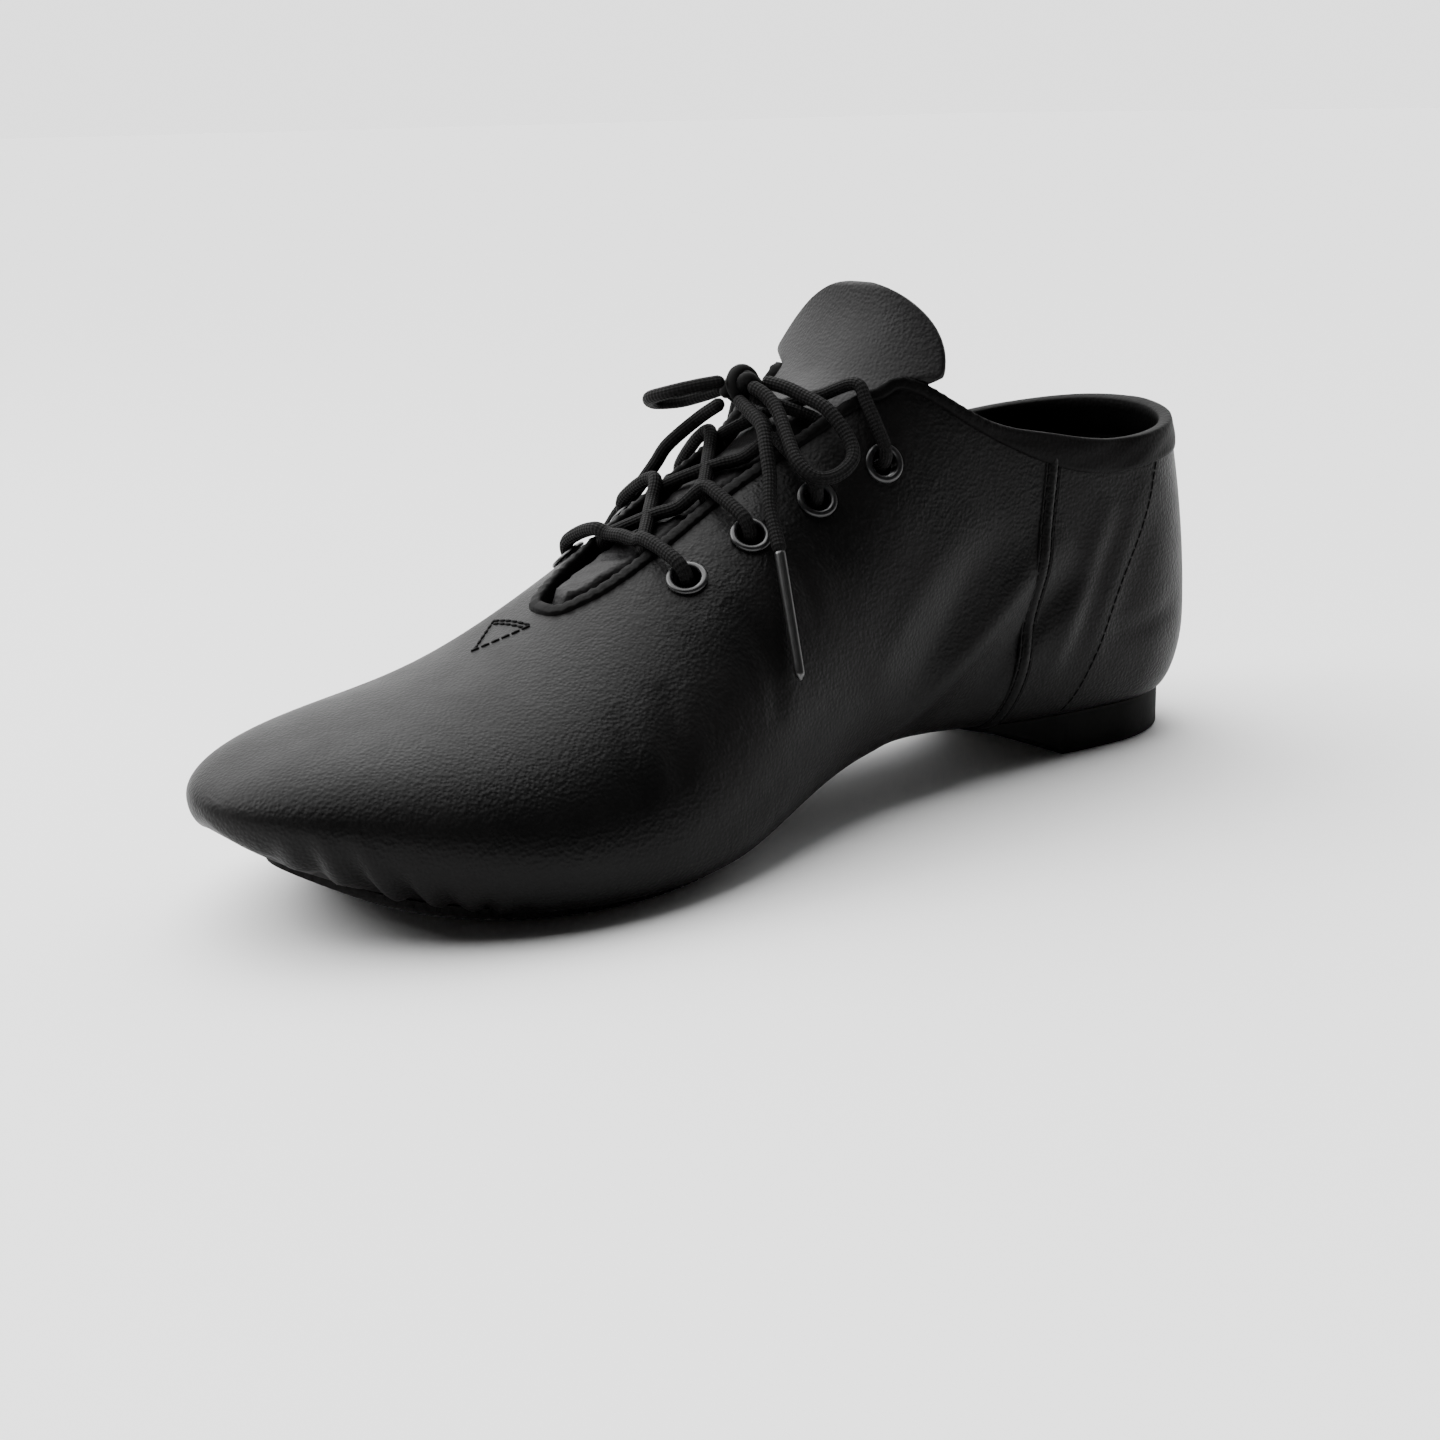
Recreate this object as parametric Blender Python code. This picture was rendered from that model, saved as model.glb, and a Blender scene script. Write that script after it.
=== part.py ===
"""Split-sole jazz shoe for the left foot, built as a cordwainer would assemble it.

Metres, +Z up. The toe points to -X and the outer side of the foot to -Y, and the
soles stand on z = 0. The upper is one hollow leather wall drawn over a last whose
cross-sections are worked out from the length, ball width, instep and heel height.
"""

import math

import bmesh
import bpy
import numpy as np
from mathutils import Matrix, Vector

# Driving sizes of the last and the shoe.
LENGTH = 0.232
BALL_WIDTH = 0.085
INSTEP_HEIGHT = 0.060
HEEL_LIFT = 0.0065
ARCH_RISE = 0.0045
TOE_SPRING = 0.0092
TIP_HEIGHT = 0.0228

# Thicknesses of the materials, and the gap kept between pieces that touch.
UPPER_WALL = 0.0016
CUFF_STEP = 0.0007
SEAM_STEP = 0.0005
SOLE_THICKNESS = 0.0025
INSOLE_THICKNESS = 0.0022
TONGUE_THICKNESS = 0.0018
GAP = 0.0003

# Back of the heel: how far the back seam leans in at the collar and at the sole.
BACK_LEAN = 0.0045
BACK_TUCK = 0.0040
BULGE_HEIGHT = 0.025
BACK_REACH = 0.30

# Ends of the plan outline, as shares of the length that are rounded off.
HEEL_ROUND = 0.125
TOE_ROUND = 0.235

# The flat spot of the forefoot sole and the front of the heel seat, as stations.
FLAT_START = 0.64
FLAT_END = 0.745
HEEL_SEAT_END = 0.23

# Sections of the last from the back of the heel (station 0) to the toe (station 1).
# outer, inner: half widths as shares of BALL_WIDTH; shift: sideways shift of the
# section as a share of BALL_WIDTH; widest, crest: heights of the widest line and of
# the closed crest above the floor as shares of INSTEP_HEIGHT; feather: width of the
# tucked-under edge as a share of the half width; peak: 1 is an elliptical crown and
# below 1 is boxier.
SECTION_COLUMNS = ("station", "outer", "inner", "shift", "widest", "crest", "feather", "peak")
SECTIONS = (
    (0.00, 0.325, 0.330, 0.006, 0.430, 2.300, 0.80, 0.95),
    (0.10, 0.325, 0.330, 0.006, 0.445, 2.250, 0.80, 0.95),
    (0.20, 0.322, 0.316, 0.006, 0.485, 2.150, 0.75, 0.95),
    (0.30, 0.316, 0.296, 0.014, 0.520, 2.000, 0.64, 0.92),
    (0.38, 0.328, 0.300, 0.019, 0.505, 1.720, 0.60, 0.88),
    (0.46, 0.360, 0.321, 0.022, 0.455, 1.310, 0.62, 0.86),
    (0.54, 0.413, 0.362, 0.024, 0.360, 1.100, 0.69, 0.88),
    (0.62, 0.476, 0.411, 0.024, 0.262, 0.930, 0.80, 0.97),
    (0.70, 0.512, 0.453, 0.023, 0.200, 0.760, 0.86, 1.00),
    (0.78, 0.500, 0.467, 0.021, 0.208, 0.630, 0.83, 0.96),
    (0.86, 0.460, 0.463, 0.017, 0.254, 0.575, 0.75, 0.90),
    (0.93, 0.420, 0.449, 0.013, 0.313, 0.555, 0.65, 0.86),
    (1.00, 0.397, 0.434, 0.013, 0.371, 0.536, 0.56, 0.85),
)

# Height of the collar's edge along the side, as a share of INSTEP_HEIGHT.
COLLAR_COLUMNS = ("station", "height")
COLLAR = (
    (0.00, 1.170),
    (0.05, 1.140),
    (0.10, 1.120),
    (0.16, 1.112),
    (0.21, 1.135),
    (0.25, 1.165),
    (0.29, 1.197),
    (0.32, 1.240),
    (0.35, 1.305),
    (0.38, 1.375),
    (0.42, 1.430),
    (0.50, 1.470),
)

# Half gap of the throat along its edge, as a share of BALL_WIDTH.
THROAT_END = 0.693
THROAT_COLUMNS = ("station", "half_gap")
THROAT = (
    (0.38, 0.240),
    (0.41, 0.208),
    (0.44, 0.170),
    (0.48, 0.126),
    (0.52, 0.106),
    (0.57, 0.100),
    (0.62, 0.096),
    (0.65, 0.085),
    (0.67, 0.067),
    (0.683, 0.045),
    (0.690, 0.023),
    (THROAT_END, 0.000),
)
CORNER_BLEND = 0.0025

# Cuff: a band turned over the collar's edge that narrows to a binding at the throat.
CUFF_WIDTH = 0.0070
CUFF_RAMP = 0.0005
CUFF_SLACK = 1.02
CUFF_COLUMNS = ("station", "width")
CUFF = (
    (0.00, 1.00),
    (0.10, 0.88),
    (0.20, 0.94),
    (0.25, 0.78),
    (0.30, 0.42),
    (0.36, 0.27),
    (0.45, 0.25),
    (THROAT_END, 0.25),
)

# Raised seam strip over the join of quarter and back part, on both sides.
SEAM_STATION = 0.266
SEAM_SLANT = 0.052
SEAM_WIDTH = 0.0034
SEAM_RAMP = 0.0005
SEAM_REACH = 0.055

# Openings underneath the upper, closed by the separate soles.
LASTING_MARGIN = 0.008
FOREFOOT_OPENING = (0.66, 0.86)
HEEL_OPENING = (0.05, 0.20)

# Forefoot sole, heel block and insole, with their ends as stations.
SOLE_START = 0.575
SOLE_END = 0.945
SOLE_INSET = 0.0018
SOLE_ROUND = 0.055
HEEL_BACK = 0.004
HEEL_BREAST = 0.196
HEEL_TIP = 0.315
HEEL_TIP_ROUND = 0.040
HEEL_TIP_THICKNESS = 0.0010
HEEL_HOLLOW = 0.9
INSOLE_HEEL_INSET = 0.0085
INSOLE_TOE_INSET = 0.0150
INSOLE_SIDE_INSET = 0.0010
INSOLE_SEAT = 0.0009

# Tongue: under the vamp and through the throat it follows the last's crown, a little
# below the wall. Its standing part leaves the throat and flares above the collar.
TONGUE_BASE = 0.735
TONGUE_LEAVE = 0.458
TONGUE_DROP = 0.0014
TONGUE_SINK_END = 0.700
TONGUE_SINK_RUN = 0.050
TONGUE_COLUMNS = ("station", "half_width")
TONGUE = (
    (0.40, 0.325),
    (0.46, 0.300),
    (0.54, 0.240),
    (0.62, 0.200),
    (0.70, 0.160),
    (0.76, 0.130),
)

# Middle line of the tongue's standing part, from where it leaves the throat (rise 0)
# to its top (rise 1): station along the shoe and height as a share of INSTEP_HEIGHT.
STAND_COLUMNS = ("rise", "station", "height")
STAND = (
    (0.00, 0.458, 1.250),
    (0.20, 0.430, 1.325),
    (0.40, 0.406, 1.405),
    (0.60, 0.387, 1.500),
    (0.80, 0.374, 1.590),
    (1.00, 0.366, 1.675),
)
STAND_END = 0.995
STAND_GLIDE = 0.05
STAND_BLEND = 0.4
STAND_CLEARANCE = 0.0025
STAND_WIDTH = 0.047
STAND_ROUND_FROM = 0.35
STAND_CURL = 0.0065
STAND_TWIST = 0.0040
STAND_SAG = 0.0030
STAND_FLARE = 0.0085
STAND_FLARE_START = 0.0013
STAND_FLARE_RISE = 0.0100
STAND_FLARE_EASE = 0.0016

# Eyelets: place of each pair, as a station and a distance out from the throat's edge.
EYELET_FLANGE = 0.0078
EYELET_HOLE = 0.0050
EYELET_TUBE = 0.0004
EYELET_RIM = 0.0006
EYELET_BEVEL = 0.0005
EYELET_COLUMNS = ("station", "offset")
EYELETS = (
    (0.616, 0.0113),
    (0.555, 0.0125),
    (0.490, 0.0135),
    (0.426, 0.0140),
)
EYELET_SEGMENTS = 12
CUTTER_REACH = 0.004

# Round braided lace: how high its middle line runs above the last's surface.
LACE_DIAMETER = 0.0027
LACE_SIDES = 7
LACE_OVER_EDGE = 0.0026
LACE_OVER_TONGUE = 0.0004
LACE_BAR_OVER_TONGUE = 0.0010
LACE_UNDER_EDGE = 0.0004
LACE_UNDER_REACH = 0.0024
LACE_THINNING = 0.01

# The lace's way over the throat's edge and down through an eyelet: distances out from
# the edge or from the eyelet's middle, and heights above the last.
ENTRY_COLUMNS = ("anchor", "out", "height")
ENTRY = (
    ("edge", -0.0015, 0.0022),
    ("edge", 0.0030, LACE_OVER_EDGE),
    ("middle", -0.0034, LACE_OVER_EDGE),
    ("middle", -0.0012, 0.0019),
    ("middle", -0.0001, 0.0002),
    ("middle", 0.0000, -0.0016),
)

# The bow: middle and half sizes of its knot, and the routes of its cords, in metres.
KNOT_MIDDLE = (0.0032, 0.0035, 0.0824)
KNOT_HALF_SIZES = (0.0044, 0.0046, 0.0040)
OUTER_LOOP = (
    (0.0015, -0.0018, 0.0824),
    (0.0018, -0.0049, 0.0812),
    (0.0014, -0.0087, 0.0788),
    (-0.0005, -0.0138, 0.0746),
    (-0.0020, -0.0187, 0.0704),
    (-0.0006, -0.0222, 0.0678),
    (0.0034, -0.0232, 0.0679),
    (0.0076, -0.0229, 0.0702),
    (0.0090, -0.0207, 0.0734),
    (0.0082, -0.0155, 0.0787),
    (0.0070, -0.0099, 0.0810),
    (0.0059, -0.0055, 0.0824),
    (0.0050, -0.0018, 0.0830),
)
INNER_LOOP = (
    (-0.0019, 0.0047, 0.0832),
    (-0.0052, 0.0071, 0.0826),
    (-0.0086, 0.0111, 0.0814),
    (-0.0092, 0.0169, 0.0798),
    (-0.0054, 0.0205, 0.0782),
    (-0.0010, 0.0185, 0.0782),
    (0.0014, 0.0139, 0.0796),
    (0.0024, 0.0091, 0.0812),
)
OUTER_END = (
    (-0.0006, -0.0001, 0.0798),
    (-0.0016, -0.0045, 0.0783),
    (-0.0026, -0.0092, 0.0759),
    (-0.0048, -0.0132, 0.0714),
    (-0.0062, -0.0156, 0.0678),
    (-0.0086, -0.0185, 0.0632),
    (-0.0101, -0.0216, 0.0594),
    (-0.0112, -0.0241, 0.0564),
)
INNER_END = (
    (0.0008, 0.0083, 0.0783),
    (-0.0005, 0.0134, 0.0751),
    (-0.0048, 0.0174, 0.0702),
    (-0.0065, 0.0196, 0.0663),
    (-0.0096, 0.0220, 0.0610),
    (-0.0117, 0.0249, 0.0567),
    (-0.0132, 0.0273, 0.0525),
)

# Lace tips: where each one ends, and its outline as shares of its length and radius.
OUTER_AGLET_END = (-0.0160, -0.0354, 0.0350)
INNER_AGLET_END = (-0.0196, 0.0371, 0.0306)
AGLET_DIAMETER = 0.0021
AGLET_COLUMNS = ("share", "size")
AGLET_OUTLINE = (
    (0.000, 0.86),
    (0.020, 1.00),
    (0.500, 0.97),
    (0.940, 0.92),
    (0.985, 0.70),
    (1.000, 0.35),
)

# How finely the forms are cut up.
LOWER_STEPS = 12
UPPER_STEPS = 44
SIDE_STEPS = 9
ACROSS = (-1.0, -0.8, -0.4, 0.0, 0.4, 0.8, 1.0)
AGLET_SIDES = 10
SHARE_RAMP = 0.94
SHARE_CUFF = 0.95
WELD = 0.00002


def natural_cubic(table, columns, name):
    """A function that reads a natural cubic through one named column of a table."""
    rows = np.array(table)
    x = rows[:, 0]
    y = rows[:, columns.index(name)]
    n = len(x)
    h = np.diff(x)
    system = np.eye(n)
    right = np.zeros(n)
    for i in range(1, n - 1):
        system[i, i - 1:i + 2] = h[i - 1], 2 * (h[i - 1] + h[i]), h[i]
        right[i] = 6 * ((y[i + 1] - y[i]) / h[i] - (y[i] - y[i - 1]) / h[i - 1])
    bend = np.linalg.solve(system, right)

    def read(at):
        at = np.clip(np.asarray(at, float), x[0], x[-1])
        i = np.clip(np.searchsorted(x, at) - 1, 0, n - 2)
        a = x[i + 1] - at
        b = at - x[i]
        return (
            (bend[i] * a**3 + bend[i + 1] * b**3) / (6 * h[i])
            + (y[i] / h[i] - bend[i] * h[i] / 6) * a
            + (y[i + 1] / h[i] - bend[i + 1] * h[i] / 6) * b
        )

    return read


LAST = {name: natural_cubic(SECTIONS, SECTION_COLUMNS, name) for name in SECTION_COLUMNS[1:]}
collar_height = natural_cubic(COLLAR, COLLAR_COLUMNS, "height")
throat_gap = natural_cubic(THROAT, THROAT_COLUMNS, "half_gap")
cuff_share = natural_cubic(CUFF, CUFF_COLUMNS, "width")
tongue_share = natural_cubic(TONGUE, TONGUE_COLUMNS, "half_width")
stand_station = natural_cubic(STAND, STAND_COLUMNS, "station")
stand_height = natural_cubic(STAND, STAND_COLUMNS, "height")


def smooth(t):
    """0 to 1 with level ends."""
    t = np.clip(t, 0.0, 1.0)
    return t * t * (3 - 2 * t)


def lift(station):
    """Height of the soles' underside above the floor: raised arch, flat tread, toe spring."""
    station = np.asarray(station, float)
    run = (station - HEEL_SEAT_END) / (FLAT_START - HEEL_SEAT_END)
    heel = HEEL_LIFT * (1 - smooth(run))
    arch = ARCH_RISE * np.sin(np.pi * np.clip(run, 0, 1)) ** 2
    spring = TOE_SPRING * np.clip((station - FLAT_END) / (1 - FLAT_END), 0, 1) ** 2
    return heel + arch + spring


def tip_squash(station):
    """Share of a section's height left at a station, falling to 0 at the toe's tip."""
    toe = np.clip((np.asarray(station, float) - 1 + TOE_ROUND) / TOE_ROUND, 0, 1)
    return np.sqrt(np.clip(1 - toe**3, 0, 1))


def bottom(station):
    """Height of the upper's underside at a station."""
    low = SOLE_THICKNESS + GAP + lift(station)
    return TIP_HEIGHT + (low - TIP_HEIGHT) * tip_squash(station)


def plan_round(station):
    """Share of the full width left at a station: 1 along the shoe, 0 at both ends."""
    station = np.asarray(station, float)
    heel = np.clip(1 - station / HEEL_ROUND, 0, 1)
    toe = np.clip((station - 1 + TOE_ROUND) / TOE_ROUND, 0, 1)
    return np.sqrt(np.clip(1 - heel**2, 0, 1)) * np.clip(1 - toe**2.1, 0, 1) ** 0.52


def back_shift(station, z):
    """How far the back of the heel leans in towards the toe at height z."""
    fade = np.clip(1 - station / BACK_REACH, 0, 1) ** 2
    above = np.clip((z - BULGE_HEIGHT) / (INSTEP_HEIGHT - BULGE_HEIGHT), 0, 1.7)
    below = np.clip((BULGE_HEIGHT - z) / (BULGE_HEIGHT - HEEL_LIFT - SOLE_THICKNESS), 0, 1)
    return fade * (BACK_LEAN * above**1.8 + BACK_TUCK * below**2)


def half_width(station, side):
    """Half width of the last on the outer (side -1) or inner (side 1) side."""
    name = "outer" if side < 0 else "inner"
    return BALL_WIDTH * LAST[name](station) * plan_round(station)


def feather_edge(station, side):
    """Half width of the upper's underside."""
    return half_width(station, side) * LAST["feather"](station)


def shift(station):
    """Sideways place of a section's middle."""
    return BALL_WIDTH * LAST["shift"](station)


def side_outline(station, side):
    """Points of one half section, from the feather edge to the closed crest.

    side is -1 for the outer side and 1 for the inner side. The part below the widest
    line is a quarter ellipse down to the feather edge, and the part above it a quarter
    superellipse up to the crest.
    """
    half = half_width(station, side)
    widest = INSTEP_HEIGHT * LAST["widest"](station)
    crest = INSTEP_HEIGHT * LAST["crest"](station)
    feather = LAST["feather"](station)
    low = SOLE_THICKNESS + GAP + lift(station)
    up = np.linspace(0, np.pi / 2, LOWER_STEPS + 1)[:-1]
    over = np.linspace(0, np.pi / 2, UPPER_STEPS + 1)
    crown = np.clip(np.cos(over), 0, 1) ** LAST["peak"](station)
    y = np.concatenate([half * (feather + (1 - feather) * np.sin(up)), half * crown])
    lower = widest - (widest - low) * np.cos(up)
    raised = widest + (crest - widest) * np.sin(over)
    z = np.concatenate([lower, raised])
    z = TIP_HEIGHT + (z - TIP_HEIGHT) * tip_squash(station)
    x = LENGTH * (0.5 - station) - back_shift(station, z)
    return np.stack([x, shift(station) + side * y, z], axis=1)


def run_lengths(points):
    """Distance along a polyline from its first point to each of its points."""
    return np.concatenate([[0.0], np.cumsum(np.linalg.norm(np.diff(points, axis=0), axis=1))])


def edge_length(station, side):
    """Distance up a half section from the feather edge to the collar or throat edge."""
    outline = side_outline(station, side)
    run = run_lengths(outline)
    if station >= THROAT_END:
        return run[-1]
    collar = np.interp(INSTEP_HEIGHT * collar_height(station), outline[:, 2], run)
    gap = BALL_WIDTH * throat_gap(station)
    upper = outline[LOWER_STEPS:]
    reach = np.abs(upper[:, 1] - outline[-1, 1])
    if station < THROAT[0][0] or reach[0] <= gap:
        return collar
    throat = np.interp(-gap, -reach, run[LOWER_STEPS:])
    return -CORNER_BLEND * np.logaddexp(-collar / CORNER_BLEND, -throat / CORNER_BLEND)


def on_last(station, side, length):
    """The point of the last's surface at a distance up from the feather edge."""
    outline = side_outline(station, side)
    run = run_lengths(outline)
    return np.array([np.interp(length, run, outline[:, k]) for k in range(3)])


def on_crown(station, side, arc):
    """The point of the last's surface at a distance down from the closed crest."""
    outline = side_outline(station, side)
    run = run_lengths(outline)
    return np.array([np.interp(run[-1] - arc, run, outline[:, k]) for k in range(3)])


def crown_normal(station, side, arc):
    """Outward normal of the last's surface at a distance down from the crest."""
    along_step = 0.004
    across_step = 0.001
    along = on_crown(station + along_step, side, arc) - on_crown(station - along_step, side, arc)
    near = on_crown(station, side, max(arc - across_step, 0))
    across = on_crown(station, side, arc + across_step) - near
    normal = np.cross(across, along) * side
    return normal / np.linalg.norm(normal)


def surface_grid(rows, columns, place):
    """Points of a two-parameter surface, as an array of rows by columns by 3."""
    return np.array([[place(row, column) for column in columns] for row in rows])


def grid_faces(rows, columns, keep=None):
    """Quads of a rows by columns grid of vertices, leaving out those that keep refuses."""
    faces = []
    for i in range(rows - 1):
        for j in range(columns - 1):
            if keep is None or keep(i, j):
                a = i * columns + j
                faces.append((a, a + 1, a + columns + 1, a + columns))
    return faces


def leather(name, colour, roughness):
    """A plain Principled material."""
    material = bpy.data.materials.new(name)
    material.use_nodes = True
    shader = material.node_tree.nodes["Principled BSDF"]
    shader.inputs["Base Color"].default_value = (*colour, 1.0)
    shader.inputs["Roughness"].default_value = roughness
    return material


def metal(name, colour, roughness):
    """A plain metallic material."""
    material = leather(name, colour, roughness)
    material.node_tree.nodes["Principled BSDF"].inputs["Metallic"].default_value = 1.0
    return material


def add_mesh(name, vertices, faces, material, crease=40.0):
    """Make one closed object: weld, point the faces outwards, and shade it smooth."""
    form = bmesh.new()
    points = [form.verts.new(vertex) for vertex in vertices]
    for face in faces:
        corners = []
        for index in face:
            if points[index] not in corners:
                corners.append(points[index])
        form.faces.new(corners)
    bmesh.ops.remove_doubles(form, verts=form.verts, dist=WELD)
    bmesh.ops.dissolve_degenerate(form, edges=form.edges, dist=WELD / 10)
    bmesh.ops.recalc_face_normals(form, faces=form.faces)
    mesh = bpy.data.meshes.new(name)
    form.to_mesh(mesh)
    form.free()
    mesh.shade_smooth()
    mesh.set_sharp_from_angle(angle=math.radians(crease))
    shape = bpy.data.objects.new(name, mesh)
    bpy.context.collection.objects.link(shape)
    if material is not None:
        mesh.materials.append(material)
    return shape


def add_slab(name, top, under, material, crease=40.0):
    """A closed solid between two grids of points of the same size."""
    rows, columns = top.shape[:2]
    size = rows * columns
    vertices = np.concatenate([top.reshape(-1, 3), under.reshape(-1, 3)])
    upper = grid_faces(rows, columns)
    faces = upper + [tuple(size + index for index in reversed(face)) for face in upper]
    ring = list(range(columns))
    ring += [i * columns + columns - 1 for i in range(1, rows)]
    ring += [(rows - 1) * columns + j for j in range(columns - 2, -1, -1)]
    ring += [i * columns for i in range(rows - 2, 0, -1)]
    for a, b in zip(ring, ring[1:] + ring[:1]):
        faces.append((b, a, size + a, size + b))
    return add_mesh(name, vertices, faces, material, crease)


def upper_stations():
    """Stations of the upper's rows, closest together at both ends and at the seam strip."""
    heel = HEEL_ROUND * (1 - np.cos(np.linspace(0, np.pi / 2, 8)))
    strip = SEAM_WIDTH / LENGTH / 2
    ramp = SEAM_RAMP / LENGTH
    seam = SEAM_STATION + np.array([-strip - ramp, -strip, strip, strip + ramp])
    back = [0.150, 0.175, HEEL_OPENING[1], 0.222, 0.242]
    side = list(np.arange(0.290, 0.390, 0.0230)) + list(np.arange(0.398, 0.645, 0.0205))
    throat = [FOREFOOT_OPENING[0], 0.670, 0.679, 0.686, 0.690, THROAT_END, 0.715, 0.740]
    toe = 1 - TOE_ROUND * (1 - np.sin(np.linspace(0, np.pi / 2, 12)))
    return np.concatenate([heel, back, seam, side, throat, toe])


def slanted(station, share):
    """Station of a row at a share of the way up the side, leaning along the seam strip."""
    near = np.exp(-((station - SEAM_STATION) / SEAM_REACH) ** 2)
    return station + SEAM_SLANT * (0.5 - share) * near


def upper_point(row, column):
    """A point of the upper's outer surface. column runs from -2 to 2.

    From -2 to -1 it comes down the outer side from the topline to the feather edge,
    from -1 to 1 it crosses the underside, and from 1 to 2 it goes up the inner side.
    """
    side = -1 if column < 0 else 1
    share = abs(column) - 1
    if share <= 0:
        station = slanted(row, 0.0)
        edge = feather_edge(station, side)
        inset = min(LASTING_MARGIN, edge / 2)
        reach = {1.0: edge, 0.5: edge - inset, 0.0: 0.0}[abs(column)]
        x = LENGTH * (0.5 - station) - back_shift(station, bottom(station))
        return np.array([x, shift(station) + side * reach, bottom(station)])
    station = slanted(row, share)
    edge = edge_length(station, side)
    cuff = CUFF_WIDTH * cuff_share(station) + CUFF_RAMP
    steps = {SHARE_CUFF: edge - cuff + CUFF_RAMP, 1.0: edge}
    return on_last(station, side, steps.get(share, share / SHARE_RAMP * (edge - cuff)))


def build_upper(material):
    """The hollow upper: a wall over the last, open at the collar, throat and soles."""
    rows = upper_stations()
    shares = [*np.linspace(0, SHARE_RAMP, SIDE_STEPS + 1)[1:], SHARE_CUFF, 1.0]
    outer_side = [-1 - share for share in reversed(shares)]
    inner_side = [1 + share for share in shares]
    columns = outer_side + [-1.0, -0.5, 0.0, 0.5, 1.0] + inner_side
    points = surface_grid(rows, columns, upper_point)
    middle = columns.index(0.0)

    def keep(i, j):
        if not middle - 1 <= j <= middle:
            return True
        for start, end in (HEEL_OPENING, FOREFOOT_OPENING):
            if start <= rows[i] and rows[i + 1] <= end + WELD:
                return False
        return True

    edges = [points[rows < THROAT_END][:, k] for k in (0, -1)]
    topline = np.concatenate([edges[0][::-1], edges[1], points[rows == THROAT_END][:, 0]])
    strip = SEAM_WIDTH / LENGTH / 2 + WELD
    form = bmesh.new()
    relief = form.verts.layers.float.new("relief")
    made = []
    for i, row in enumerate(rows):
        for j, column in enumerate(columns):
            vertex = form.verts.new(points[i, j])
            share = abs(column) - 1
            cuff = CUFF_WIDTH * cuff_share(min(row, THROAT_END)) + WELD
            below_edge = np.linalg.norm(topline - points[i, j], axis=1).min()
            if share >= SHARE_CUFF and below_edge <= cuff * CUFF_SLACK:
                vertex[relief] = CUFF_STEP
            elif abs(row - SEAM_STATION) <= strip and 0 < share <= SHARE_RAMP:
                vertex[relief] = SEAM_STEP
            made.append(vertex)
    for face in grid_faces(len(rows), len(columns), keep):
        form.faces.new([made[index] for index in face])
    bmesh.ops.remove_doubles(form, verts=form.verts, dist=WELD)
    bmesh.ops.dissolve_degenerate(form, edges=form.edges, dist=WELD / 10)
    bmesh.ops.recalc_face_normals(form, faces=form.faces)
    form.normal_update()
    form.verts.index_update()
    outer = [vertex.co + vertex.normal * vertex[relief] for vertex in form.verts]
    inner = [vertex.co - vertex.normal * UPPER_WALL for vertex in form.verts]
    size = len(outer)
    faces = []
    for face in form.faces:
        loop = [vertex.index for vertex in face.verts]
        faces.append(tuple(loop))
        faces.append(tuple(size + index for index in reversed(loop)))
    for edge in form.edges:
        if len(edge.link_faces) == 1:
            corner = edge.link_loops[0]
            a = corner.vert.index
            b = corner.link_loop_next.vert.index
            faces.append((b, a, size + a, size + b))
    form.free()
    return add_mesh("upper", outer + inner, faces, material, 35.0)


def eyelet_frame(pair, side):
    """Place of an eyelet: its middle on the last and the direction that it faces."""
    station, offset = EYELETS[pair]
    outline = side_outline(station, side)
    arc = run_lengths(outline)[-1] - edge_length(station, side) + offset
    return on_crown(station, side, arc), crown_normal(station, side, arc)


def turned(profile, place, facing, segments):
    """Vertices and faces of a closed ring turned about an axis, from (radius, height) points."""
    spin = Vector(facing).to_track_quat("Z", "Y").to_matrix().to_4x4()
    matrix = Matrix.Translation(Vector(place)) @ spin
    vertices = []
    for k in range(segments):
        angle = 2 * math.pi * k / segments
        for radius, height in profile:
            vertices.append(matrix @ Vector((radius * math.cos(angle), radius * math.sin(angle), height)))
    size = len(profile)
    faces = []
    for k in range(segments):
        for j in range(size):
            a = k * size + j
            b = k * size + (j + 1) % size
            c = (k + 1) % segments * size + (j + 1) % size
            d = (k + 1) % segments * size + j
            faces.append((a, b, c, d))
    return vertices, faces


def build_eyelet(name, pair, side, material):
    """A flanged eyelet whose tube passes through the wall."""
    place, facing = eyelet_frame(pair, side)
    bore = EYELET_HOLE / 2
    tube = bore + EYELET_TUBE
    flange = EYELET_FLANGE / 2
    inside = -UPPER_WALL - GAP
    top = GAP + EYELET_RIM
    profile = (
        (bore, inside), (tube, inside), (tube, GAP),
        (flange, GAP), (flange - EYELET_BEVEL, top), (tube, top),
    )
    vertices, faces = turned(profile, place, facing, EYELET_SEGMENTS)
    return add_mesh(name, vertices, faces, material, 60.0)


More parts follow.
